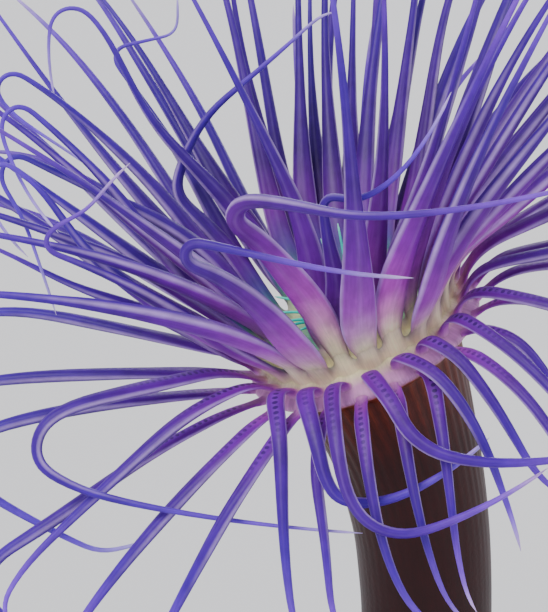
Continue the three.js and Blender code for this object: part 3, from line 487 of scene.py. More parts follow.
def clear_of_body(points, half_thickness):
    """The moves that take points clear of the margin's rolled edge and of the column."""
    lip = SETTLE["lip"]
    room = half_thickness + SETTLE["clearance"][0]
    from_middle = points - CROWN_MIDDLE
    above = from_middle @ DISC_UP
    flat = from_middle - np.outer(above, DISC_UP)
    radius = np.linalg.norm(flat, axis=1)
    from_roll = flat * ((radius - lip["ring"]) / radius)[:, None]
    from_roll += np.outer(above - lip["height"], DISC_UP)
    distance = np.linalg.norm(from_roll, axis=1)
    moves = from_roll * (np.maximum(lip["roll"] + room - distance, 0) / distance)[:, None]

    kept = COLUMN["steps"] - MARGIN_COVERS + 1
    radii = along(COLUMN["radii"], np.arange(kept) / COLUMN["steps"])
    away = points[:, None] - AXIS_POINTS[None, :kept]
    distances = np.linalg.norm(away, axis=2)
    short = radii[None] + (room + SETTLE["column_margin"])[:, None] - distances
    deepest = short.argmax(axis=1)
    rows = np.arange(len(points))
    push = np.maximum(short[rows, deepest], 0) / distances[rows, deepest] / 2
    return moves + away[rows, deepest] * push[:, None]


def smooth_moves(moves):
    """Passes of a 1-2-1 average along each tentacle, with its ends left alone."""
    for _ in range(SETTLE["smoothing"]):
        moves = moves.copy()
        moves[:, 1:-1] = (moves[:, :-2] + 2 * moves[:, 1:-1] + moves[:, 2:]) / 4
    return moves


def section_reach(way, across, through):
    """How far sections reach from their centres along a direction."""
    return np.hypot((way * across).sum(-1), (way * through).sum(-1))


def settle(tentacles):
    """Moves the tentacles apart until none touches another, the margin or the column."""
    homes = np.array([centre_line(tentacle) for tentacle in tentacles])
    points = homes
    first_sides = np.array([tentacle["first_side"] for tentacle in tentacles])
    widths = np.array([tentacle["width"] for tentacle in tentacles])[:, None]
    leafiness = rise(widths, STRAP_WIDTH, LEAF_WIDTH)
    halves = widths / 2 * mix(along(STRAP, SHARES), along(LEAF, SHARES), leafiness)
    flatness = mix(LEAF_FLATNESS, 1, smooth(SHARES / ROUND_FROM))
    half_widths = np.maximum(halves, THINNEST)
    half_thicknesses = np.maximum(halves * flatness, THINNEST)
    give = smooth(SHARES / SETTLE["stiff_root"])
    gives = np.tile(give, len(tentacles))
    half_clearances = np.tile(mix(*SETTLE["clearance"], SHARES) / 2, len(tentacles))
    for turn in range(SETTLE["rounds"]):
        if turn % SETTLE["refresh"] == 0:
            sides, faces = carry_frames(points, first_sides)
            across = (sides * half_widths[..., None]).reshape(-1, 3)
            through = (faces * half_thicknesses[..., None]).reshape(-1, 3)
            a, b = find_neighbours(points)
            giving = gives[a] + gives[b]
            a, b, giving = a[giving > 0], b[giving > 0], giving[giving > 0]
        flat = points.reshape(-1, 3)
        apart = flat[a] - flat[b]
        distance = np.linalg.norm(apart, axis=1)
        way = apart / distance[:, None]
        needed = half_clearances[a] + half_clearances[b] - distance
        reaches = [section_reach(way, across[end], through[end]) for end in (a, b)]
        needed += reaches[0] + reaches[1]
        near = needed > 0
        push = way[near] * (needed[near] / giving[near])[:, None]
        moves = np.zeros_like(flat)
        counts = np.zeros(len(flat))
        for end, sign in ((a[near], 1), (b[near], -1)):
            np.add.at(moves, end, sign * push * gives[end, None])
            np.add.at(counts, end, 1)
        moves = smooth_moves((moves / np.maximum(counts, 1)[:, None]).reshape(points.shape))
        clear = clear_of_body(flat, half_thicknesses.ravel()).reshape(points.shape)
        drifts = points - homes + (moves * SETTLE["haste"] + clear) * give[:, None]
        points = homes + smooth_moves(drifts)
    sides, _ = carry_frames(points, first_sides)
    return points, sides, half_widths, half_thicknesses


def make_tentacles():
    roll = make_dice(CHANCE["seed"])
    order = [(cycle, sector) for sector in range(SECTORS) for cycle in range(len(CYCLES))]
    tentacles = [make_tentacle(cycle, sector, roll) for cycle, sector in order]
    for tentacle, *lines in zip(tentacles, *settle(tentacles)):
        tentacle.update(zip(("points", "sides", "half_widths", "half_thicknesses"), lines))
    return tentacles


# ======== Colours, as sRGB ========

CREAM = (1.0, 0.94, 0.76)
PALE_GREEN = (0.68, 0.80, 0.60)
GREY_TEAL = (0.36, 0.60, 0.58)
SLATE = (0.40, 0.30, 0.66)
ROSE = (0.84, 0.58, 0.80)
ORCHID = (0.66, 0.24, 0.74)
PURPLE = (0.46, 0.05, 0.63)
VIOLET = (0.29, 0.02, 0.53)
BLUE_VIOLET = (0.28, 0.045, 0.63)
DEEP_VIOLET = (0.16, 0.02, 0.34)
LILAC = (0.50, 0.28, 0.86)
PALE_LILAC = (0.84, 0.72, 0.98)
# painted shade that darkens the edges of leaf roots where neighbouring leaves meet
ROOT_SHADE_COLOUR = (0.42, 0.24, 0.26)
RUST = (0.60, 0.26, 0.12)
TERRACOTTA = (0.36, 0.09, 0.045)
MAROON = (0.21, 0.024, 0.036)
DARK_MAROON = (0.15, 0.015, 0.03)
TEAL = (0.10, 0.46, 0.48)
CYAN = (0.16, 0.86, 0.80)
PALE_CYAN = (0.66, 1.0, 0.92)
DARK_WOOD = (0.14, 0.085, 0.06)
LIGHT_WOOD = (0.27, 0.165, 0.10)
WOOD_PORES = (0.08, 0.05, 0.04)
PALE_FLOOR = (0.86, 0.86, 0.87)

# Each ramp: place, colour. Tentacles are coloured by the share of their length.
ABORAL_RAMP = [
    (0, CREAM), (0.05, CREAM), (0.1, ROSE), (0.16, ORCHID), (0.26, PURPLE), (0.42, VIOLET),
    (0.62, BLUE_VIOLET), (0.84, LILAC), (1, PALE_LILAC),
]
INNER_ORAL_RAMP = [
    (0, CREAM), (0.04, PALE_GREEN), (0.07, GREY_TEAL), (0.12, SLATE), (0.2, PURPLE), (0.3, VIOLET),
    (0.6, BLUE_VIOLET), (0.86, LILAC), (1, PALE_LILAC),
]
# The two outer cycles, in purple from the root
STRAP_RAMP = [
    (0, ROSE), (0.025, ROSE), (0.06, ORCHID), (0.12, PURPLE), (0.3, VIOLET), (0.6, BLUE_VIOLET),
    (0.86, LILAC), (1, PALE_LILAC),
]
LABIAL_RAMP = [(0, TEAL), (0.3, CYAN), (0.8, CYAN), (1, PALE_CYAN)]
# The column and the crown are coloured by the distance along their outline from the margin's edge,
# in millimetres: below 0 on the column and over 0 on the disc.
BODY_RAMP = [
    (-185, DARK_MAROON), (-80, DARK_MAROON), (-32, MAROON), (-14, TERRACOTTA), (-7, TERRACOTTA),
    (-3, RUST), (0, ROSE), (3.5, ROSE), (6.5, CREAM), (11, CREAM), (15, PALE_GREEN), (22, TEAL),
    (30, TEAL),
]


def linear(colour):
    """Blender's own linear values of an sRGB colour."""
    c = np.asarray(colour, float)
    return np.where(c <= 0.04045, c / 12.92, ((c + 0.055) / 1.055) ** 2.4)


def ramp(pairs, x):
    """The linear colours at x of a blend through (place, sRGB colour) pairs."""
    places = [place for place, _ in pairs]
    colours = linear([colour for _, colour in pairs])
    return np.stack([np.interp(x, places, colours[:, c]) for c in range(3)], axis=-1)


# ======== Curves and grids ========

def placed(name, data):
    """A new object of the scene."""
    thing = bpy.data.objects.new(name, data)
    bpy.context.scene.collection.objects.link(thing)
    return thing


def resample(values, places):
    """A smooth curve through evenly numbered values, read at places between them."""
    values = np.asarray(values, float)
    last = len(values) - 1
    k = np.clip(np.floor(places).astype(int), 0, last - 1)
    before, after = np.maximum(k - 1, 0), np.minimum(k + 2, last)
    u = (places - k)[:, None]
    a, b, c, d = values[before], values[k], values[k + 1], values[after]
    return b + 0.5 * u * (c - a + u * (2 * a - 5 * b + 4 * c - d + u * (3 * (b - c) + d - a)))


def even_places(costs):
    """Places along a line such that the cost between two of them is even and at most 1."""
    total = np.concatenate([[0], np.cumsum(costs)])
    rings = math.ceil(total[-1]) + 1
    return np.interp(np.linspace(0, total[-1], rings), total, np.arange(len(total)))


class Skin:
    """Gathers surfaces into one mesh: grids of points in closed rings, and loose triangles."""

    # What the material reads at every point: a colour, a place and single numbers.
    FACTS = ("tint", "grain", "spots", "edge", "along", "across", "fibres")

    def __init__(self):
        self.points, self.corners, self.sizes, self.map = [], [], [], []
        self.facts = {name: [] for name in self.FACTS}
        self.count = 0

    def add_points(self, points, facts):
        """Adds points and their facts, which are 0 where they aren't given."""
        shape = points.shape[:-1]
        for name, values in self.facts.items():
            wide = (3,) if name in self.FACTS[:2] else ()
            values.append(np.broadcast_to(facts.get(name, 0), shape + wide).reshape(-1, *wide))
        self.points.append(points.reshape(-1, 3))
        self.count += math.prod(shape)

    def add_faces(self, points, corners, places, **facts):
        """Adds triangles; places are the corners' places on the map."""
        self.corners.append(self.count + corners)
        self.sizes.append(np.full(len(corners) // 3, 3))
        self.map.append(places)
        self.add_points(points, facts)

    def add(self, rings, patch, **facts):
        """Adds rings[r, s]; patch is the (u0, v0, u1, v1) of the map that they unroll onto."""
        rows, sides, _ = rings.shape
        numbers = self.count + np.arange(rows * sides).reshape(rows, sides)
        following = np.roll(numbers, -1, axis=1)
        quads = np.stack([numbers[:-1], following[:-1], following[1:], numbers[1:]], axis=-1)
        self.corners += [quads.ravel(), numbers[0, ::-1], numbers[-1]]
        self.sizes += [np.full((rows - 1) * sides, 4), [sides, sides]]
        u = np.linspace(patch[0], patch[2], sides + 1)
        v = np.linspace(patch[1], patch[3], rows)
        spread = np.empty((rows - 1, sides, 4, 2))
        for corner, (du, dv) in enumerate(((0, 0), (1, 0), (1, 1), (0, 1))):
            spread[..., corner, 0] = u[du : du + sides]
            spread[..., corner, 1] = v[dv : dv + rows - 1, None]
        foot = np.stack([u[:-1][::-1], np.full(sides, v[0])], axis=-1)
        top = np.stack([u[:-1], np.full(sides, v[-1])], axis=-1)
        self.map += [spread.reshape(-1, 2), foot, top]
        self.add_points(rings, facts)

    def make(self, name):
        """The mesh, as a piece of the scene."""
        corners = np.concatenate(self.corners)
        sizes = np.concatenate(self.sizes)
        mesh = bpy.data.meshes.new(name)
        mesh.vertices.add(self.count)
        mesh.vertices.foreach_set("co", np.vstack(self.points).ravel() * MM)
        mesh.loops.add(len(corners))
        mesh.loops.foreach_set("vertex_index", corners)
        mesh.polygons.add(len(sizes))
        mesh.polygons.foreach_set("loop_start", np.cumsum(sizes) - sizes)
        mesh.polygons.foreach_set("loop_total", sizes)
        mesh.polygons.foreach_set("use_smooth", np.ones(len(sizes), bool))
        mesh.uv_layers.new(name="OFBake").data.foreach_set("uv", np.vstack(self.map).ravel())
        kinds = {"tint": ("FLOAT_COLOR", "color"), "grain": ("FLOAT_VECTOR", "vector")}
        for fact, values in self.facts.items():
            kind, key = kinds.get(fact, ("FLOAT", "value"))
            values = np.concatenate(values)
            if fact == "tint":
                values = np.hstack([values, np.ones((self.count, 1))])
            mesh.attributes.new(fact, kind, "POINT").data.foreach_set(key, values.ravel())
        mesh.update(calc_edges=True)
        mesh.validate()
        return placed(name, mesh)


# ======== The skin: marginal tentacles ========

TENTACLE_SIDES = 12
RING_SPACING = (1.2, 4.2)  # at the root and on the whip
WHIP_RINGS_FROM = 0.4  # share of the length from where rings have the whip's spacing
RING_TURN = 0.24  # radians between two rings
LEAF_INSET = 0.96  # the skin's section over the solid's
WHIP_INSET = 0.95
BLADE = 0.62  # the leaf's thickness over the solid's
ROOT_END = 0.3  # size of the root's end, inside the margin, over the solid's
ROOT_RISE = 2.8  # length over which the root comes to its full size
TIP_TAPER = 0.05  # share of the length over which the tip closes
TIP_RADIUS = 0.05
LENS = 1.3  # how pinched the leaf's edges are; 1 is an ellipse
GUTTER = {"depth": 0.22, "width": 0.3}  # the oral groove over the thickness and the width
FLARE = {"wide": 0.45, "thick": 0.2, "height": 1.6}  # where a tentacle runs into the margin
STRIPS = {"rows": 2, "height": 0.36, "margin": 0.0015}  # on the map
GRAIN_SHRINK = 0.12  # how much the streaks' space is pressed together along a part

# How chance varies the colours: how far up they reach, how bright and how warm they are
VARIETY = {"reach": 0.4, "bright": 0.12, "warm": 0.1}
TURNED = {"behind": 0.25, "right": 0.08}  # how much darker behind and how much warmer on the right
EDGE_LEAD = (0.05, 0.3)  # how much sooner a leaf's edge takes its colours, and up to where
# Shares of the length between which each of these starts, is full, is still full and ends
ROOT_SHADE_SPAN = (0, 0.03, 0.05, 0.12)
SPOTTED = (0.03, 0.07, 0.16, 0.32)
# where the pale leaf edges show, partly painted glow of light through the thin flesh
EDGED = (0.03, 0.13, 0.4, 0.7)
# strength of the painted shade at the edges of leaf roots
ROOT_SHADE_STRENGTH = 0.45
ROOT_SHADE_FROM = 0.6  # how far out on the leaf's width the painted shade starts
ORAL_SIDE = (-0.3, 0.5)  # how far round to the oral side its colours start and are full
# Dark spots lie on the oral faces of the two outer cycles. How far round they start and how soft
# that is, how far to the front they show in full, and their strength with its chance.
SPOTS = {"oral": 0.2, "soft": 0.5, "front": 0.4, "strength": (0.75, 0.25)}
COOLER = 0.3  # power by which blue falls as warmth grows
DYE_FULL = 0.15  # share of the length from where chance varies the colours in full


def tentacle_skin(tentacle):
    """Rings of one tentacle's skin, with each ring's share of the length."""
    points = tentacle["points"]
    steps = points[1:] - points[:-1]
    lengths = np.linalg.norm(steps, axis=1)
    ways = steps / lengths[:, None]
    turns = np.arccos(np.clip((ways[1:] * ways[:-1]).sum(-1), -1, 1))
    turns = np.concatenate([[0], turns]) / 2 + np.concatenate([turns, [0]]) / 2
    middles = (np.arange(SAMPLES) + 0.5) / SAMPLES
    spacing = mix(*RING_SPACING, smooth(middles / WHIP_RINGS_FROM))
    places = even_places(lengths / spacing + turns / RING_TURN)
    shares = places / SAMPLES
    line = resample(points, places)
    tangents = unit(np.gradient(line, axis=0))
    sides = square_to(tangents, resample(tentacle["sides"], places))
    faces = np.cross(tangents, sides)

    whip = smooth(shares / ROUND_FROM)
    inset = mix(LEAF_INSET, WHIP_INSET, whip)
    wide = np.interp(shares, SHARES, tentacle["half_widths"]) * inset
    thick = np.interp(shares, SHARES, tentacle["half_thicknesses"]) * inset
    clear = np.maximum(shares * tentacle["length"] - ROOT_DEPTH, 0)
    flare = np.exp(-((clear / FLARE["height"]) ** 2))
    closing = np.sqrt(1 - np.clip((shares - 1 + TIP_TAPER) / TIP_TAPER, 0, 1) ** 2)
    thick = thick * mix(mix(BLADE, 1, whip), 1, flare)
    wide = mix(TIP_RADIUS, wide + FLARE["wide"] * flare, closing)
    thick = mix(TIP_RADIUS, thick + FLARE["thick"] * flare, closing)
    sunk = mix(ROOT_END, 1, smooth(shares * tentacle["length"] / ROOT_RISE))

    across = np.cos(circle(TENTACLE_SIDES))
    oral = np.sin(circle(TENTACLE_SIDES))
    leafy = (1 - whip)[:, None]
    bulge = np.sign(oral) * np.abs(oral) ** (1 + (LENS - 1) * leafy)
    groove = GUTTER["depth"] * leafy * np.exp(-((across / GUTTER["width"]) ** 2)) * (oral > 0)
    bulge = bulge * (1 - groove)

    def around(wide, thick):
        rings = line[:, None] + sides[:, None] * (wide[:, None] * across)[..., None]
        return rings + faces[:, None] * (thick[:, None] * bulge)[..., None]

    stub = int(np.searchsorted(clear, WEB["stub"])) + 1
    swelling = mix(WEB["swell"][tentacle["cycle"]], -WEB["sink"], smooth(clear / WEB["stub"]))
    swollen = around(*(np.maximum(half + swelling, WEB["thinnest"]) for half in (wide, thick)))
    return around(wide * sunk, thick * sunk), shares, across, oral, swollen[:stub]


# The web that rounds off the valleys between the tentacles' roots
WEB = {
    "stub": 10,  # length of each root that goes into the web
    # how far the web's roots stand out of the tentacles at the margin, for each cycle
    "swell": (0.7, 0.7, 0.35, 0.15),
    "sink": 0.5,  # how far they end inside the tentacles at the other end
    "thinnest": 0.3,
    "voxel": 0.45,
    "passes": 14,  # of smoothing
    "dye_passes": 10,  # of smoothing of its colours
    "kept": 0.45,  # share of the triangles
    "nearest": 5,  # points of the skin that colour each point of the web
    "soft": 0.1,  # added to their distances, so that none of them counts for everything
    # section of the ring that joins the roots: distance from the disc's middle, height
    "ring": [
        (15.6, 0.2), (17.6, 0.55), (19.9, 0.1), (23, -1.4), (26, -3.4), (27.8, -4.8),
        (28.7, -5.8), (28.4, -6.8), (26.6, -6.9), (22, -5.5), (16.5, -3.5), (15.4, -1.5),
    ],
    "ring_sides": 120,
    "patch": (0.705, 0.868, 0.125),  # its middle and radius on the map
    "reach": 44,  # millimetres of the margin that the patch's radius holds
}


def tentacle_grain(tentacle, number, shares, across, oral):
    """A place for every point in a space where streaks along the tentacle come out long."""
    half = tentacle["width"] / 2
    grain = np.empty((len(shares), len(across), 3))
    grain[..., 0] = across * half + number * 2 * half
    grain[..., 1] = oral * half * LEAF_FLATNESS
    grain[..., 2] = shares[:, None] * tentacle["length"] * GRAIN_SHRINK
    return grain


def tentacle_tint(tentacle, share, across, oral, roll):
    """The colours of a tentacle's points, with its oral face in colours of its own."""
    leaf = tentacle["cycle"] < 2
    azimuth = math.radians(tentacle["azimuth"])
    ramps = (ABORAL_RAMP, INNER_ORAL_RAMP) if leaf else (STRAP_RAMP, STRAP_RAMP)
    lead, lead_end = EDGE_LEAD
    reach = 1 + VARIETY["reach"] * roll()
    reached = share * mix(1 / reach, 1, smooth(share / WHIP_RINGS_FROM))
    reached = reached + lead * across ** 2 * (1 - smooth(share / lead_end))
    towards_mouth = rise(oral, *ORAL_SIDE)[None, :, None]
    tint = mix(*(ramp(colours, reached) for colours in ramps), towards_mouth)
    bright = (1 + VARIETY["bright"] * roll()) * (1 - TURNED["behind"] * smooth(math.sin(azimuth)))
    warm = 1 + VARIETY["warm"] * roll() + TURNED["right"] * math.cos(azimuth)
    dye = np.array([warm, 1, 1 / warm ** COOLER]) * bright
    tint = tint * mix(1, dye, smooth(share / DYE_FULL)[..., None])
    if leaf:
        # painted shade: the edges of a leaf darken near its root, where its neighbours shade it
        root_shade = rise(np.abs(across), ROOT_SHADE_FROM, 1) * between(share, *ROOT_SHADE_SPAN)
        tint = mix(tint, linear(ROOT_SHADE_COLOUR), ROOT_SHADE_STRENGTH * root_shade[..., None])
    return tint


def add_tentacles(skin, tentacles):
    """Adds the tentacles to the skin and returns the swollen copies of their roots."""
    roll = make_dice(CHANCE["seed"] + 1)
    per_row = len(tentacles) // STRIPS["rows"]
    margin = STRIPS["margin"]
    usual, chance = SPOTS["strength"]
    roots = []
    for number, tentacle in enumerate(tentacles):
        rings, shares, across, oral, root = tentacle_skin(tentacle)
        roots.append(root)
        share = shares[:, None]
        row, column = divmod(number, per_row)
        patch = (
            column / per_row + margin,
            row * STRIPS["height"] + margin,
            (column + 1) / per_row - margin,
            (row + 1) * STRIPS["height"] - margin,
        )
        tint = tentacle_tint(tentacle, share, across, oral, roll)
        spotted_side = smooth((oral - SPOTS["oral"]) / SPOTS["soft"])
        showing = smooth(SPOTS["front"] - math.sin(math.radians(tentacle["azimuth"])))
        showing = (usual + chance * roll()) * showing if tentacle["cycle"] > 1 else 0
        skin.add(
            rings,
            patch,
            tint=tint,
            grain=tentacle_grain(tentacle, number, shares, across, oral),
            spots=between(share, *SPOTTED) * spotted_side * showing,
            edge=between(share, *EDGED),
            along=share * tentacle["length"],
            across=across[None, :],
        )
    return roots


# ======== The skin: labial tentacles ========

LABIAL_SIDES = 8
LABIAL_RINGS = 14
LABIAL_TIP = 0.6  # thickness of the tip over the solid's
LABIAL_END = 0.3  # size of the last ring over that of the tip
LABIAL_STRIPS = {"left": 0.86, "wide": 0.13, "strip": 0.0028, "bottom": 0.74, "top": 0.99}


def labial_line(cycle, azimuth, roll):
    """The places through which the centre line of a labial tentacle's solid passes."""
    length = LABIAL["lengths"][cycle] * (1 + LABIAL["length_chance"] * roll())
    turn = LABIAL["turn_chance"] * roll()
    place = crown_point(LABIAL["radii"][cycle], azimuth, LABIAL["lip_top"] - LABIAL["root_depth"])
    places = [place]
    for k in range(1, LABIAL["steps"] + 1):
        share = k / LABIAL["steps"]
        lift = math.radians(mix(LABIAL["launch"], LABIAL["lie_out"][cycle], share))
        way = outward(azimuth + turn * share) * math.cos(lift) + DISC_UP * math.sin(lift)
        place = place + way * length / LABIAL["steps"]
        places.append(place)
    return np.array(places)


def add_labials(skin):
    roll = make_dice(CHANCE["seed"])
    quarters = LABIAL["quarters"]
    per_quarter = LABIAL["per_cycle"] * 2
    parting = math.degrees(LABIAL["parting"] / LABIAL["lip_inner"])
    span = 360 / quarters - parting
    shares = np.linspace(0, 1, LABIAL_RINGS)
    thick = mix(LABIAL["thickness"], LABIAL["tip_thickness"] * LABIAL_TIP, shares) / 2
    thick[-1] *= LABIAL_END
    angles = circle(LABIAL_SIDES)[:, None]
    strips = LABIAL_STRIPS
    count = quarters * per_quarter
    for number in range(count):
        quarter, k = divmod(number, per_quarter)
        azimuth = 360 / quarters * quarter + parting / 2 + span * (k + 0.5) / per_quarter
        places = labial_line(k % 2, azimuth, roll)
        line = resample(places, shares * (len(places) - 1))
        tangents = unit(np.gradient(line, axis=0))
        sides = square_to(tangents, np.cross(DISC_UP, outward(azimuth)))
        faces = np.cross(tangents, sides)
        spokes = sides[:, None] * np.cos(angles) + faces[:, None] * np.sin(angles)
        rings = line[:, None] + thick[:, None, None] * spokes
        left = strips["left"] + strips["wide"] * number / count
        patch = (left, strips["bottom"], left + strips["strip"], strips["top"])
        skin.add(rings, patch, tint=ramp(LABIAL_RAMP, shares)[:, None])


# ======== The skin: column, margin, disc and mouth ========

COLUMN_INSET = 0.965
# Height over the disc's plane and the radii along the mouth's slit and across it.
CROWN_OUTLINE = [
    (-14, 21.6, 21.6), (-11, 22.9, 22.9), (-9.4, 25, 25), (-8.2, 27, 27), (-7.2, 28.5, 28.5),
    (-6.2, 29.2, 29.2), (-5.4, 29, 29), (-4.5, 28, 28), (-3.2, 26.2, 26.2), (-1.2, 23.1, 23.1),
    (0.3, 19.9, 19.9), (0.75, 17.6, 17.6), (0.4, 15.4, 15.4), (-0.4, 12.5, 12.5),
    (-0.9, 9.6, 9.6), (-1.2, 7.4, 7.4), (-0.8, 6.4, 6.4), (-0.2, 5.7, 5.7), (0, 4.8, 4.8),
    (-0.1, 3.9, 3.9), (-0.2, 3.2, 3.2), (0.15, 2.8, 2.7), (0.3, 2.4, 1.9), (0.25, 2.15, 0.9),
    (-0.3, 2, 0.5), (-1.6, 1.5, 0.3), (-2.2, 0.8, 0.15),
]
EDGE_OF_MARGIN = -6.2  # its height
BODY_SIDES = 192
BODY_SPACING = {"column": 3, "crown": 0.675, "crown_from": -20}  # between rings; height
FINE_STEPS = 40  # steps in which the outline is measured between two of its rows
OUTLINE_GAP = 2  # least height from the column's rows to those of the crown
ROLLED_FROM = 25  # radius from where the outline runs round the margin's edge
# Lengthwise ridges grow from least to full between the places in "grows". Wrinkles run across the
# column at the left back. These and the streaks lie between four places along the outline.
RIDGES = {
    "count": 48,
    "depth": 0.3,
    "strength": (0.7, 0.3),  # and its chance
    "least": 0.15,
    "grows": (-70, -16),
    "lie": (-185, -165, -3, 3),
}
WRINKLES = {
    "depth": 0.22,
    "length": 3.4,
    "short_of_side": 0.1,
    "sway": [(1.2, 3, 0), (0.8, 7, 1)],  # waves round the column: size, count and phase
    "lie": (-95, -65, -18, -6),
}
STREAKS = {"strength": 0.4, "lie": (-24, -4, -3, 0)}
FIBRES = {"least": 0.3, "grow": (-60, -5), "fade": (-2, 2)}
FURROW_SHADE = 0.35
BODY_PATCH = (0.005, 0.74, 0.57, 0.995)
GRAIN_RADIUS = 25


def body_outline():
    """Height and two radii along the outline from the foot to the mouth, evenly spaced."""
    rows = []
    for share, radius in COLUMN["radii"]:
        height = (share - 1) * COLUMN["length"]
        if height < CROWN_OUTLINE[0][0] - OUTLINE_GAP:
            rows.append((height, radius * COLUMN_INSET, radius * COLUMN_INSET))
    rows = np.array(rows + CROWN_OUTLINE, float)
    fine = resample(rows, np.linspace(0, len(rows) - 1, FINE_STEPS * len(rows)))
    lengths = np.linalg.norm(np.diff(fine[:, :2], axis=0), axis=1)
    low = fine[:-1, 0] < BODY_SPACING["crown_from"]
    places = even_places(lengths / np.where(low, BODY_SPACING["column"], BODY_SPACING["crown"]))
    steps = np.arange(len(fine))
    outline = np.stack([np.interp(places, steps, fine[:, c]) for c in range(3)], axis=-1)
    run = np.interp(places, steps, np.concatenate([[0], np.cumsum(lengths)]))
    return outline, run


def add_body(skin):
    outline, run = body_outline()
    height, along_slit, across_slit = outline.T
    from_edge = np.where(along_slit < ROLLED_FROM, np.inf, np.abs(height - EDGE_OF_MARGIN))
    run = run - run[np.argmin(from_edge)]
    azimuth = circle(BODY_SIDES)

    steps = np.clip(height / COLUMN["length"] + 1, 0, 1) * COLUMN["steps"]
    middles = resample(AXIS_POINTS, steps) + np.outer(np.maximum(height, 0), DISC_UP)
    tangents = unit(resample(AXIS_TANGENTS, steps))
    right = square_to(tangents, RIGHT)
    back = np.cross(tangents, right)

    roll = make_dice(CHANCE["seed"] + 2)
    usual, chance = RIDGES["strength"]
    strengths = np.array([usual + chance * roll() for _ in range(RIDGES["count"])])
    strength = np.repeat(strengths, BODY_SIDES // RIDGES["count"])
    furrow = 0.5 - 0.5 * np.cos(azimuth * RIDGES["count"])
    ridged = mix(RIDGES["least"], 1, rise(run, *RIDGES["grows"])) * between(run, *RIDGES["lie"])
    depth = RIDGES["depth"] * np.outer(ridged, furrow * strength)

    left_back = math.atan2(COLUMN["lean_front"], -COLUMN["lean_left"])
    near_side = smooth(np.cos(azimuth - left_back) - WRINKLES["short_of_side"])
    wrinkled = np.outer(between(run, *WRINKLES["lie"]), near_side)
    sway = sum(size * np.sin(count * azimuth + phase) for size, count, phase in WRINKLES["sway"])
    waves = 0.5 - 0.5 * np.cos(2 * math.pi * run[:, None] / WRINKLES["length"] + sway)
    depth = depth + WRINKLES["depth"] * waves * wrinkled

    reach_right = (along_slit[:, None] - depth) * np.cos(azimuth)
    reach_back = (across_slit[:, None] - depth) * np.sin(azimuth)
    rings = middles[:, None] + right[:, None] * reach_right[..., None]
    rings = rings + back[:, None] * reach_back[..., None]

    tint = np.repeat(ramp(BODY_RAMP, run)[:, None], BODY_SIDES, axis=1)
    pale = np.outer(between(run, *STREAKS["lie"]), (1 - furrow) ** 2 * strength)[..., None]
    tint = mix(tint, linear(RUST), STREAKS["strength"] * pale)
    tint = tint * (1 - FURROW_SHADE * np.outer(ridged, furrow)[..., None])
    grain = np.empty(rings.shape)
    grain[..., 0] = GRAIN_RADIUS * np.cos(azimuth)
    grain[..., 1] = GRAIN_RADIUS * np.sin(azimuth)
    grain[..., 2] = run[:, None] * GRAIN_SHRINK
    fibres = mix(FIBRES["least"], 1, rise(run, *FIBRES["grow"])) * (1 - rise(run, *FIBRES["fade"]))
    skin.add(rings, BODY_PATCH, tint=tint, grain=grain, fibres=fibres[:, None])


# ======== The skin: web between the roots ========

def modified(piece, kind, **settings):
    """The mesh of a piece after one modifier, as points, edges and triangles' corners."""
    modifier = piece.modifiers.new(kind, kind)
    for name, value in settings.items():
        setattr(modifier, name, value)
    graph = bpy.context.evaluated_depsgraph_get()
    mesh = bpy.data.meshes.new_from_object(piece.evaluated_get(graph))
    piece.modifiers.clear()
    piece.data = mesh
    points = np.empty(len(mesh.vertices) * 3)
    mesh.vertices.foreach_get("co", points)
    edges = np.empty(len(mesh.edges) * 2, int)
    mesh.edges.foreach_get("vertices", edges)
    mesh.calc_loop_triangles()
    corners = np.empty(len(mesh.loop_triangles) * 3, int)
    mesh.loop_triangles.foreach_get("vertices", corners)
    return points.reshape(-1, 3), edges.reshape(-1, 2), corners


def relaxed(values, edges, passes):
    """Moves every point's values half way to the average of its neighbours', over and over."""
    ends = np.concatenate([edges, edges[:, ::-1]])
    degree = np.bincount(ends[:, 0], minlength=len(values))
    for _ in range(passes):
        around = [np.bincount(ends[:, 0], values[ends[:, 1], c], len(values)) for c in range(3)]
        values = (values + np.stack(around, axis=-1) / degree[:, None]) / 2
    return values


def fused_roots(roots):
    """The roots and a ring that joins them, fused and smoothed: points, edges and corners."""
    azimuths = np.degrees(circle(WEB["ring_sides"]))
    azimuths = [*azimuths, 360]
    ring = np.array([[crown_point(r, a, h) for r, h in WEB["ring"]] for a in azimuths])
    swollen = Skin()
    for rings in [ring, *roots]:
        swollen.add(rings, (0, 0, 1, 1))
    piece = swollen.make("web")
    points, edges, _ = modified(piece, "REMESH", mode="VOXEL", voxel_size=WEB["voxel"] * MM)
    piece.data.vertices.foreach_set("co", relaxed(points, edges, WEB["passes"]).ravel())
    points, edges, corners = modified(piece, "DECIMATE", ratio=WEB["kept"])
    bpy.data.objects.remove(piece)
    return points / MM, edges, corners


def tint_from(skin, points):
    """Colours at points, from the skin's points that lie nearest to each."""
    near = np.vstack(skin.points)
    tints = np.vstack(skin.facts["tint"])
    kept = np.linalg.norm(near - CROWN_MIDDLE, axis=1) < WEB["reach"] + WEB["stub"]
    near, tints = near[kept], tints[kept]
    tree = KDTree(len(near))
    for number, point in enumerate(near):
        tree.insert(point, number)
    tree.balance()
    tint = np.empty_like(points)
    for number, point in enumerate(points):
        found = tree.find_n(point, WEB["nearest"])
        weights = np.array([1 / (distance + WEB["soft"]) ** 2 for _, _, distance in found])
        tint[number] = weights @ tints[[index for _, index, _ in found]] / weights.sum()
    return tint


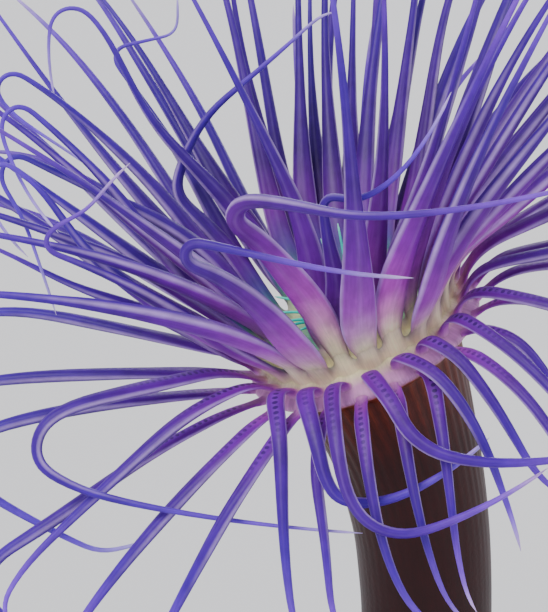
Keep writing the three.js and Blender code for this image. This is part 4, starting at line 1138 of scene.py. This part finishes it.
def add_web(skin, roots):
    """Joins the roots with rounded valleys, in the colours of the skin round them."""
    points, edges, corners = fused_roots(roots)
    tint = relaxed(tint_from(skin, points), edges, WEB["dye_passes"])
    ways = (DISC_UP, DISC_RIGHT, DISC_BACK)
    height, right, back = ((points - CROWN_MIDDLE) @ way for way in ways)
    radius = np.hypot(right, back)
    below = np.maximum(EDGE_OF_MARGIN - height, 0)
    along_outline = (radius + below) * GRAIN_SHRINK
    spokes = GRAIN_RADIUS * np.stack([right, back], axis=-1) / radius[:, None]
    u, v, size = WEB["patch"]
    scale = size / WEB["reach"] * (1 + below / radius)
    places = np.stack([u + right * scale, v + back * scale], axis=-1)
    grain = np.hstack([spokes, along_outline[:, None]])
    skin.add_faces(points, corners, places[corners], tint=tint, grain=grain)


# ======== Materials ========

class Nodes:
    """A short way to write a material's nodes."""

    def __init__(self, name):
        self.material = bpy.data.materials.new(name)
        self.material.use_nodes = True
        self.tree = self.material.node_tree
        self.shader = self.tree.nodes["Principled BSDF"]

    def node(self, kind, inputs, **settings):
        """A new node, with a value or a link for each of the inputs that are given."""
        node = self.tree.nodes.new("ShaderNode" + kind)
        for name, value in settings.items():
            setattr(node, name, value)
        self.put(node, inputs)
        return node

    def put(self, node, inputs):
        for name, value in inputs.items():
            if isinstance(value, bpy.types.NodeSocket):
                self.tree.links.new(value, node.inputs[name])
            else:
                node.inputs[name].default_value = value

    def fact(self, name):
        node = self.node("Attribute", {}, attribute_name=name)
        return node.outputs[{"tint": "Color", "grain": "Vector"}.get(name, "Fac")]

    def math(self, operation, *values):
        return self.node("Math", dict(enumerate(values)), operation=operation).outputs[0]

    def times(self, *values):
        return reduce(lambda a, b: self.math("MULTIPLY", a, b), values)

    def plus(self, *values):
        return reduce(lambda a, b: self.math("ADD", a, b), values)

    def step(self, value, low, high):
        """0 below low, 1 above high and smooth between them; high may be the smaller."""
        span = {"From Min": min(low, high), "From Max": max(low, high)}
        ends = {"To Min": float(high < low), "To Max": float(low <= high)}
        inputs = {"Value": value, **span, **ends}
        return self.node("MapRange", inputs, interpolation_type="SMOOTHSTEP").outputs[0]

    def blend(self, share, first, second, how="MIX"):
        inputs = {"Factor": share, "A": first, "B": second}
        return self.node("Mix", inputs, data_type="RGBA", blend_type=how).outputs["Result"]

    def noise(self, scale, detail=3.0, stretch=(1, 1, 1), place=None):
        place = place or self.node("TexCoord", {}).outputs["Object"]
        stretched = self.node("Mapping", {"Scale": stretch, "Vector": place}).outputs["Vector"]
        inputs = {"Vector": stretched, "Scale": scale, "Detail": detail}
        return self.node("TexNoise", inputs).outputs["Fac"]

    def streaks(self, scale, detail):
        return self.step(self.noise(scale, detail, place=self.fact("grain")), *STREAK_EDGE)

    def finish(self, colour, bump=None, **settings):
        """Sets the shader's inputs and gives the material; bump holds a bump node's inputs."""
        if bump:
            self.put(self.shader, {"Normal": self.node("Bump", bump).outputs["Normal"]})
        settings = {name.replace("_", " "): value for name, value in settings.items()}
        self.put(self.shader, {"Base Color": colour, **settings})
        return self.material


def rgba(colour):
    return (*linear(colour), 1)


STREAK_EDGE = (0.35, 0.7)
SPOT = {"pitch": 1.5, "along": 2.9, "across": 2.7, "edge": (1.2, 0.4), "strength": 0.85}
SPOT_BAND = {"edge": (0.62, 0.3), "strength": 0.2}
# paler leaf edges: partly the leaf's own margin, partly painted glow of light through the thin
# flesh
PALE_RIM_AND_GLOW = {"edge": (0.82, 1.0), "strength": 0.5}
PALE_MIDLINE = {"edge": (0.3, 0.0), "strength": 0.06}
CLOUDS = 0.2  # how much cloudy pigment varies the brightness
FINE_STREAKS = 0.16
FIBRE_DEPTH = 0.5
FIBRE_LEVEL = 0.4  # of the streaks, that leaves the brightness as it is


def skin_material():
    nodes = Nodes("anemone_skin")
    times, plus, step, fact = nodes.times, nodes.plus, nodes.step, nodes.fact
    colour = fact("tint")

    # pale edges and midline of the leaf; the pale edges are partly the leaf's own margin and
    # partly painted glow of light through the thin flesh
    across = nodes.math("ABSOLUTE", fact("across"))
    pale = (PALE_RIM_AND_GLOW, PALE_MIDLINE)
    lines = [times(step(across, *line["edge"]), line["strength"]) for line in pale]
    colour = nodes.blend(times(plus(*lines), fact("edge")), colour, rgba(PALE_LILAC))

    # a row of soft dark spots down the middle of the oral face, on a slightly paler band
    turn = nodes.math("FRACT", nodes.math("DIVIDE", fact("along"), SPOT["pitch"]))
    beat = nodes.math("ABSOLUTE", nodes.math("SUBTRACT", turn, 0.5))
    far_along = nodes.math("POWER", times(beat, SPOT["along"]), 2.0)
    far_across = nodes.math("POWER", times(across, SPOT["across"]), 2.0)
    spot = times(step(plus(far_along, far_across), *SPOT["edge"]), fact("spots"))
    spot = times(spot, step(nodes.noise(scale=350), low=0.2, high=0.5))
    band = times(step(across, *SPOT_BAND["edge"]), fact("spots"))
    colour = nodes.blend(times(band, SPOT_BAND["strength"]), colour, rgba(LILAC))
    colour = nodes.blend(times(spot, SPOT["strength"]), colour, rgba(DEEP_VIOLET))

    # cloudy pigment, fine streaks along each part and the column's fibres
    shade = plus(times(step(nodes.noise(scale=220), low=0.3, high=0.7), CLOUDS), 1 - CLOUDS)
    shade = plus(shade, times(nodes.streaks(scale=1.5, detail=2), FINE_STREAKS))
    fibre = nodes.math("SUBTRACT", nodes.streaks(scale=3.4, detail=3), FIBRE_LEVEL)
    fibre = times(fibre, fact("fibres"))
    shade = plus(shade, times(fibre, FIBRE_DEPTH))
    grey = nodes.node("CombineColor", {"Red": shade, "Green": shade, "Blue": shade})
    colour = nodes.blend(1.0, colour, grey.outputs["Color"], "MULTIPLY")

    return nodes.finish(
        colour,
        bump={"Height": nodes.noise(scale=900, detail=4), "Strength": 0.25, "Distance": 0.0004},
        Roughness=0.5,
        Specular_IOR_Level=0.22,
        Subsurface_Weight=0.3,
        Subsurface_Radius=(1.0, 0.5, 1.2),
        Subsurface_Scale=0.0012,
        Coat_Weight=0.1,
        Coat_Roughness=0.3,
    )


def stand_material():
    nodes = Nodes("stand_wood")
    grain = nodes.noise(scale=60, detail=5, stretch=(0.6, 9, 9))
    grain = nodes.step(grain, low=0.35, high=0.68)
    pores = nodes.noise(scale=420, stretch=(0.12, 6, 6))
    colour = nodes.blend(grain, rgba(DARK_WOOD), rgba(LIGHT_WOOD))
    colour = nodes.blend(nodes.step(pores, low=0.62, high=0.72), colour, rgba(WOOD_PORES))
    return nodes.finish(
        colour,
        bump={"Height": pores, "Strength": 0.15, "Distance": 0.0003},
        Roughness=0.5,
        Specular_IOR_Level=0.3,
        Coat_Weight=0.12,
        Coat_Roughness=0.3,
    )


def floor_material():
    return Nodes("floor").finish(rgba(PALE_FLOOR), Roughness=0.9)


# ======== Pieces ========

STAND_SIDES = 160
STAND_CHAMFER = 0.6  # of the lower edge
BEVEL_STEPS = 8
TOP_RINGS = (0.8, 0.5, 0.2, 0.01)  # radii of the rings on the stand's top, over its own
STAND_MIDDLE = 0.01  # radius of the ring that closes the underside
STAND_PATCH = (0.01, 0.01, 0.99, 0.99)
FLOOR_HALF = 15  # metres


def make_anemone():
    skin = Skin()
    roots = add_tentacles(skin, make_tentacles())
    add_labials(skin)
    add_body(skin)
    add_web(skin, roots)
    piece = skin.make("anemone_skin")
    piece.data.materials.append(skin_material())
    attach(piece, "root")
    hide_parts(*(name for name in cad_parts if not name.startswith("stand_")))
    return piece


def make_stand():
    """The turned wooden base, with a rounded upper edge."""
    radius, thickness, bevel = (STAND[key] for key in ("radius", "thickness", "bevel"))
    outline = [(STAND_MIDDLE, 0), (radius - STAND_CHAMFER, 0), (radius, STAND_CHAMFER)]
    for a in math.pi / 2 * np.arange(BEVEL_STEPS + 1) / BEVEL_STEPS:
        outline.append((
            radius - bevel + bevel * math.cos(a),
            thickness - bevel + bevel * math.sin(a),
        ))
    outline += [(radius * share, thickness) for share in TOP_RINGS]
    azimuth = circle(STAND_SIDES)
    rings = np.array([
        np.stack([r * np.cos(azimuth), r * np.sin(azimuth), np.full(STAND_SIDES, z)], axis=-1)
        for r, z in outline
    ])
    turned = Skin()
    turned.add(rings, STAND_PATCH, tint=1)
    piece = turned.make("stand_turned_base")
    piece.data.materials.append(stand_material())
    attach(piece, "root")
    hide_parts("stand_base")
    return piece


def make_floor():
    mesh = bpy.data.meshes.new("floor")
    signs = ((-1, -1), (1, -1), (1, 1), (-1, 1))
    corners = [(x * FLOOR_HALF, y * FLOOR_HALF, 0) for x, y in signs]
    mesh.from_pydata(corners, [], [(0, 1, 2, 3)])
    mesh.materials.append(floor_material())
    floor = placed("floor", mesh)
    floor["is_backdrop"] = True


# ======== Light and camera ========

def look_at(thing, place, target):
    """Puts a light or camera at a place, aimed at a target, with its top up."""
    back = unit(np.subtract(place, target))
    right = unit(np.cross([0, 0, 1], back))
    turn = Matrix(np.stack([right, np.cross(back, right), back], axis=1).tolist())
    thing.matrix_world = Matrix.Translation(place) @ turn.to_4x4()


SKY = {"Color": (0.8, 0.82, 0.86, 1), "Strength": 0.7}


def sun(name, place, strength, spread, colour):
    """A soft distant light that shines from a place towards the crown."""
    lamp = bpy.data.lights.new(name, "SUN")
    lamp.energy = strength
    lamp.angle = math.radians(spread)
    lamp.color = colour
    look_at(placed(name, lamp), place, CROWN_MIDDLE * MM)


def make_lights():
    sun("key", (-0.55, -0.75, 1.05), strength=2.6, spread=35, colour=(1, 0.97, 0.94))
    sun("fill", (0.95, -0.55, 0.5), strength=0.9, spread=60, colour=(0.95, 0.97, 1))
    sun("back", (0.25, 0.95, 0.75), strength=2, spread=40, colour=(0.95, 0.95, 1))
    world = bpy.data.worlds.new("studio")
    bpy.context.scene.world = world
    world.use_nodes = True
    background = world.node_tree.nodes["Background"]
    for name, value in SKY.items():
        background.inputs[name].default_value = value


CAMERA = {
    "elevation": 10,  # degrees above the horizon, looking along +Y
    "distance": 480,
    "pixels_per_mm": 4.2,  # in the plane of the disc's middle
    "frame": (548, 612),
    "disc_middle": (355, 318),  # where the disc's middle stands in the frame
    "sees": (0.01, 100),  # metres
}


def make_camera():
    scale = CAMERA["pixels_per_mm"]
    distance = CAMERA["distance"]
    wide, high = CAMERA["frame"]
    x, y = CAMERA["disc_middle"]
    tilt = math.radians(CAMERA["elevation"])
    forward = np.array([0, math.cos(tilt), -math.sin(tilt)])
    up = np.array([0, math.sin(tilt), math.cos(tilt)])
    aim = CROWN_MIDDLE - RIGHT * (x - wide / 2) / scale + up * (y - high / 2) / scale
    lens = bpy.data.cameras.new("camera")
    lens.lens = scale * distance / high * lens.sensor_width
    lens.clip_start, lens.clip_end = CAMERA["sees"]
    camera = placed("camera", lens)
    bpy.context.scene.camera = camera
    look_at(camera, (aim - forward * distance) * MM, aim * MM)


def write_sizes():
    boxes = {"cad": CAD_BOX, "visual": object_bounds()}
    sizes = {name: [list(corner) for corner in box] for name, box in boxes.items()}


make_anemone()
make_stand()
make_floor()
make_lights()
make_camera()
write_sizes()
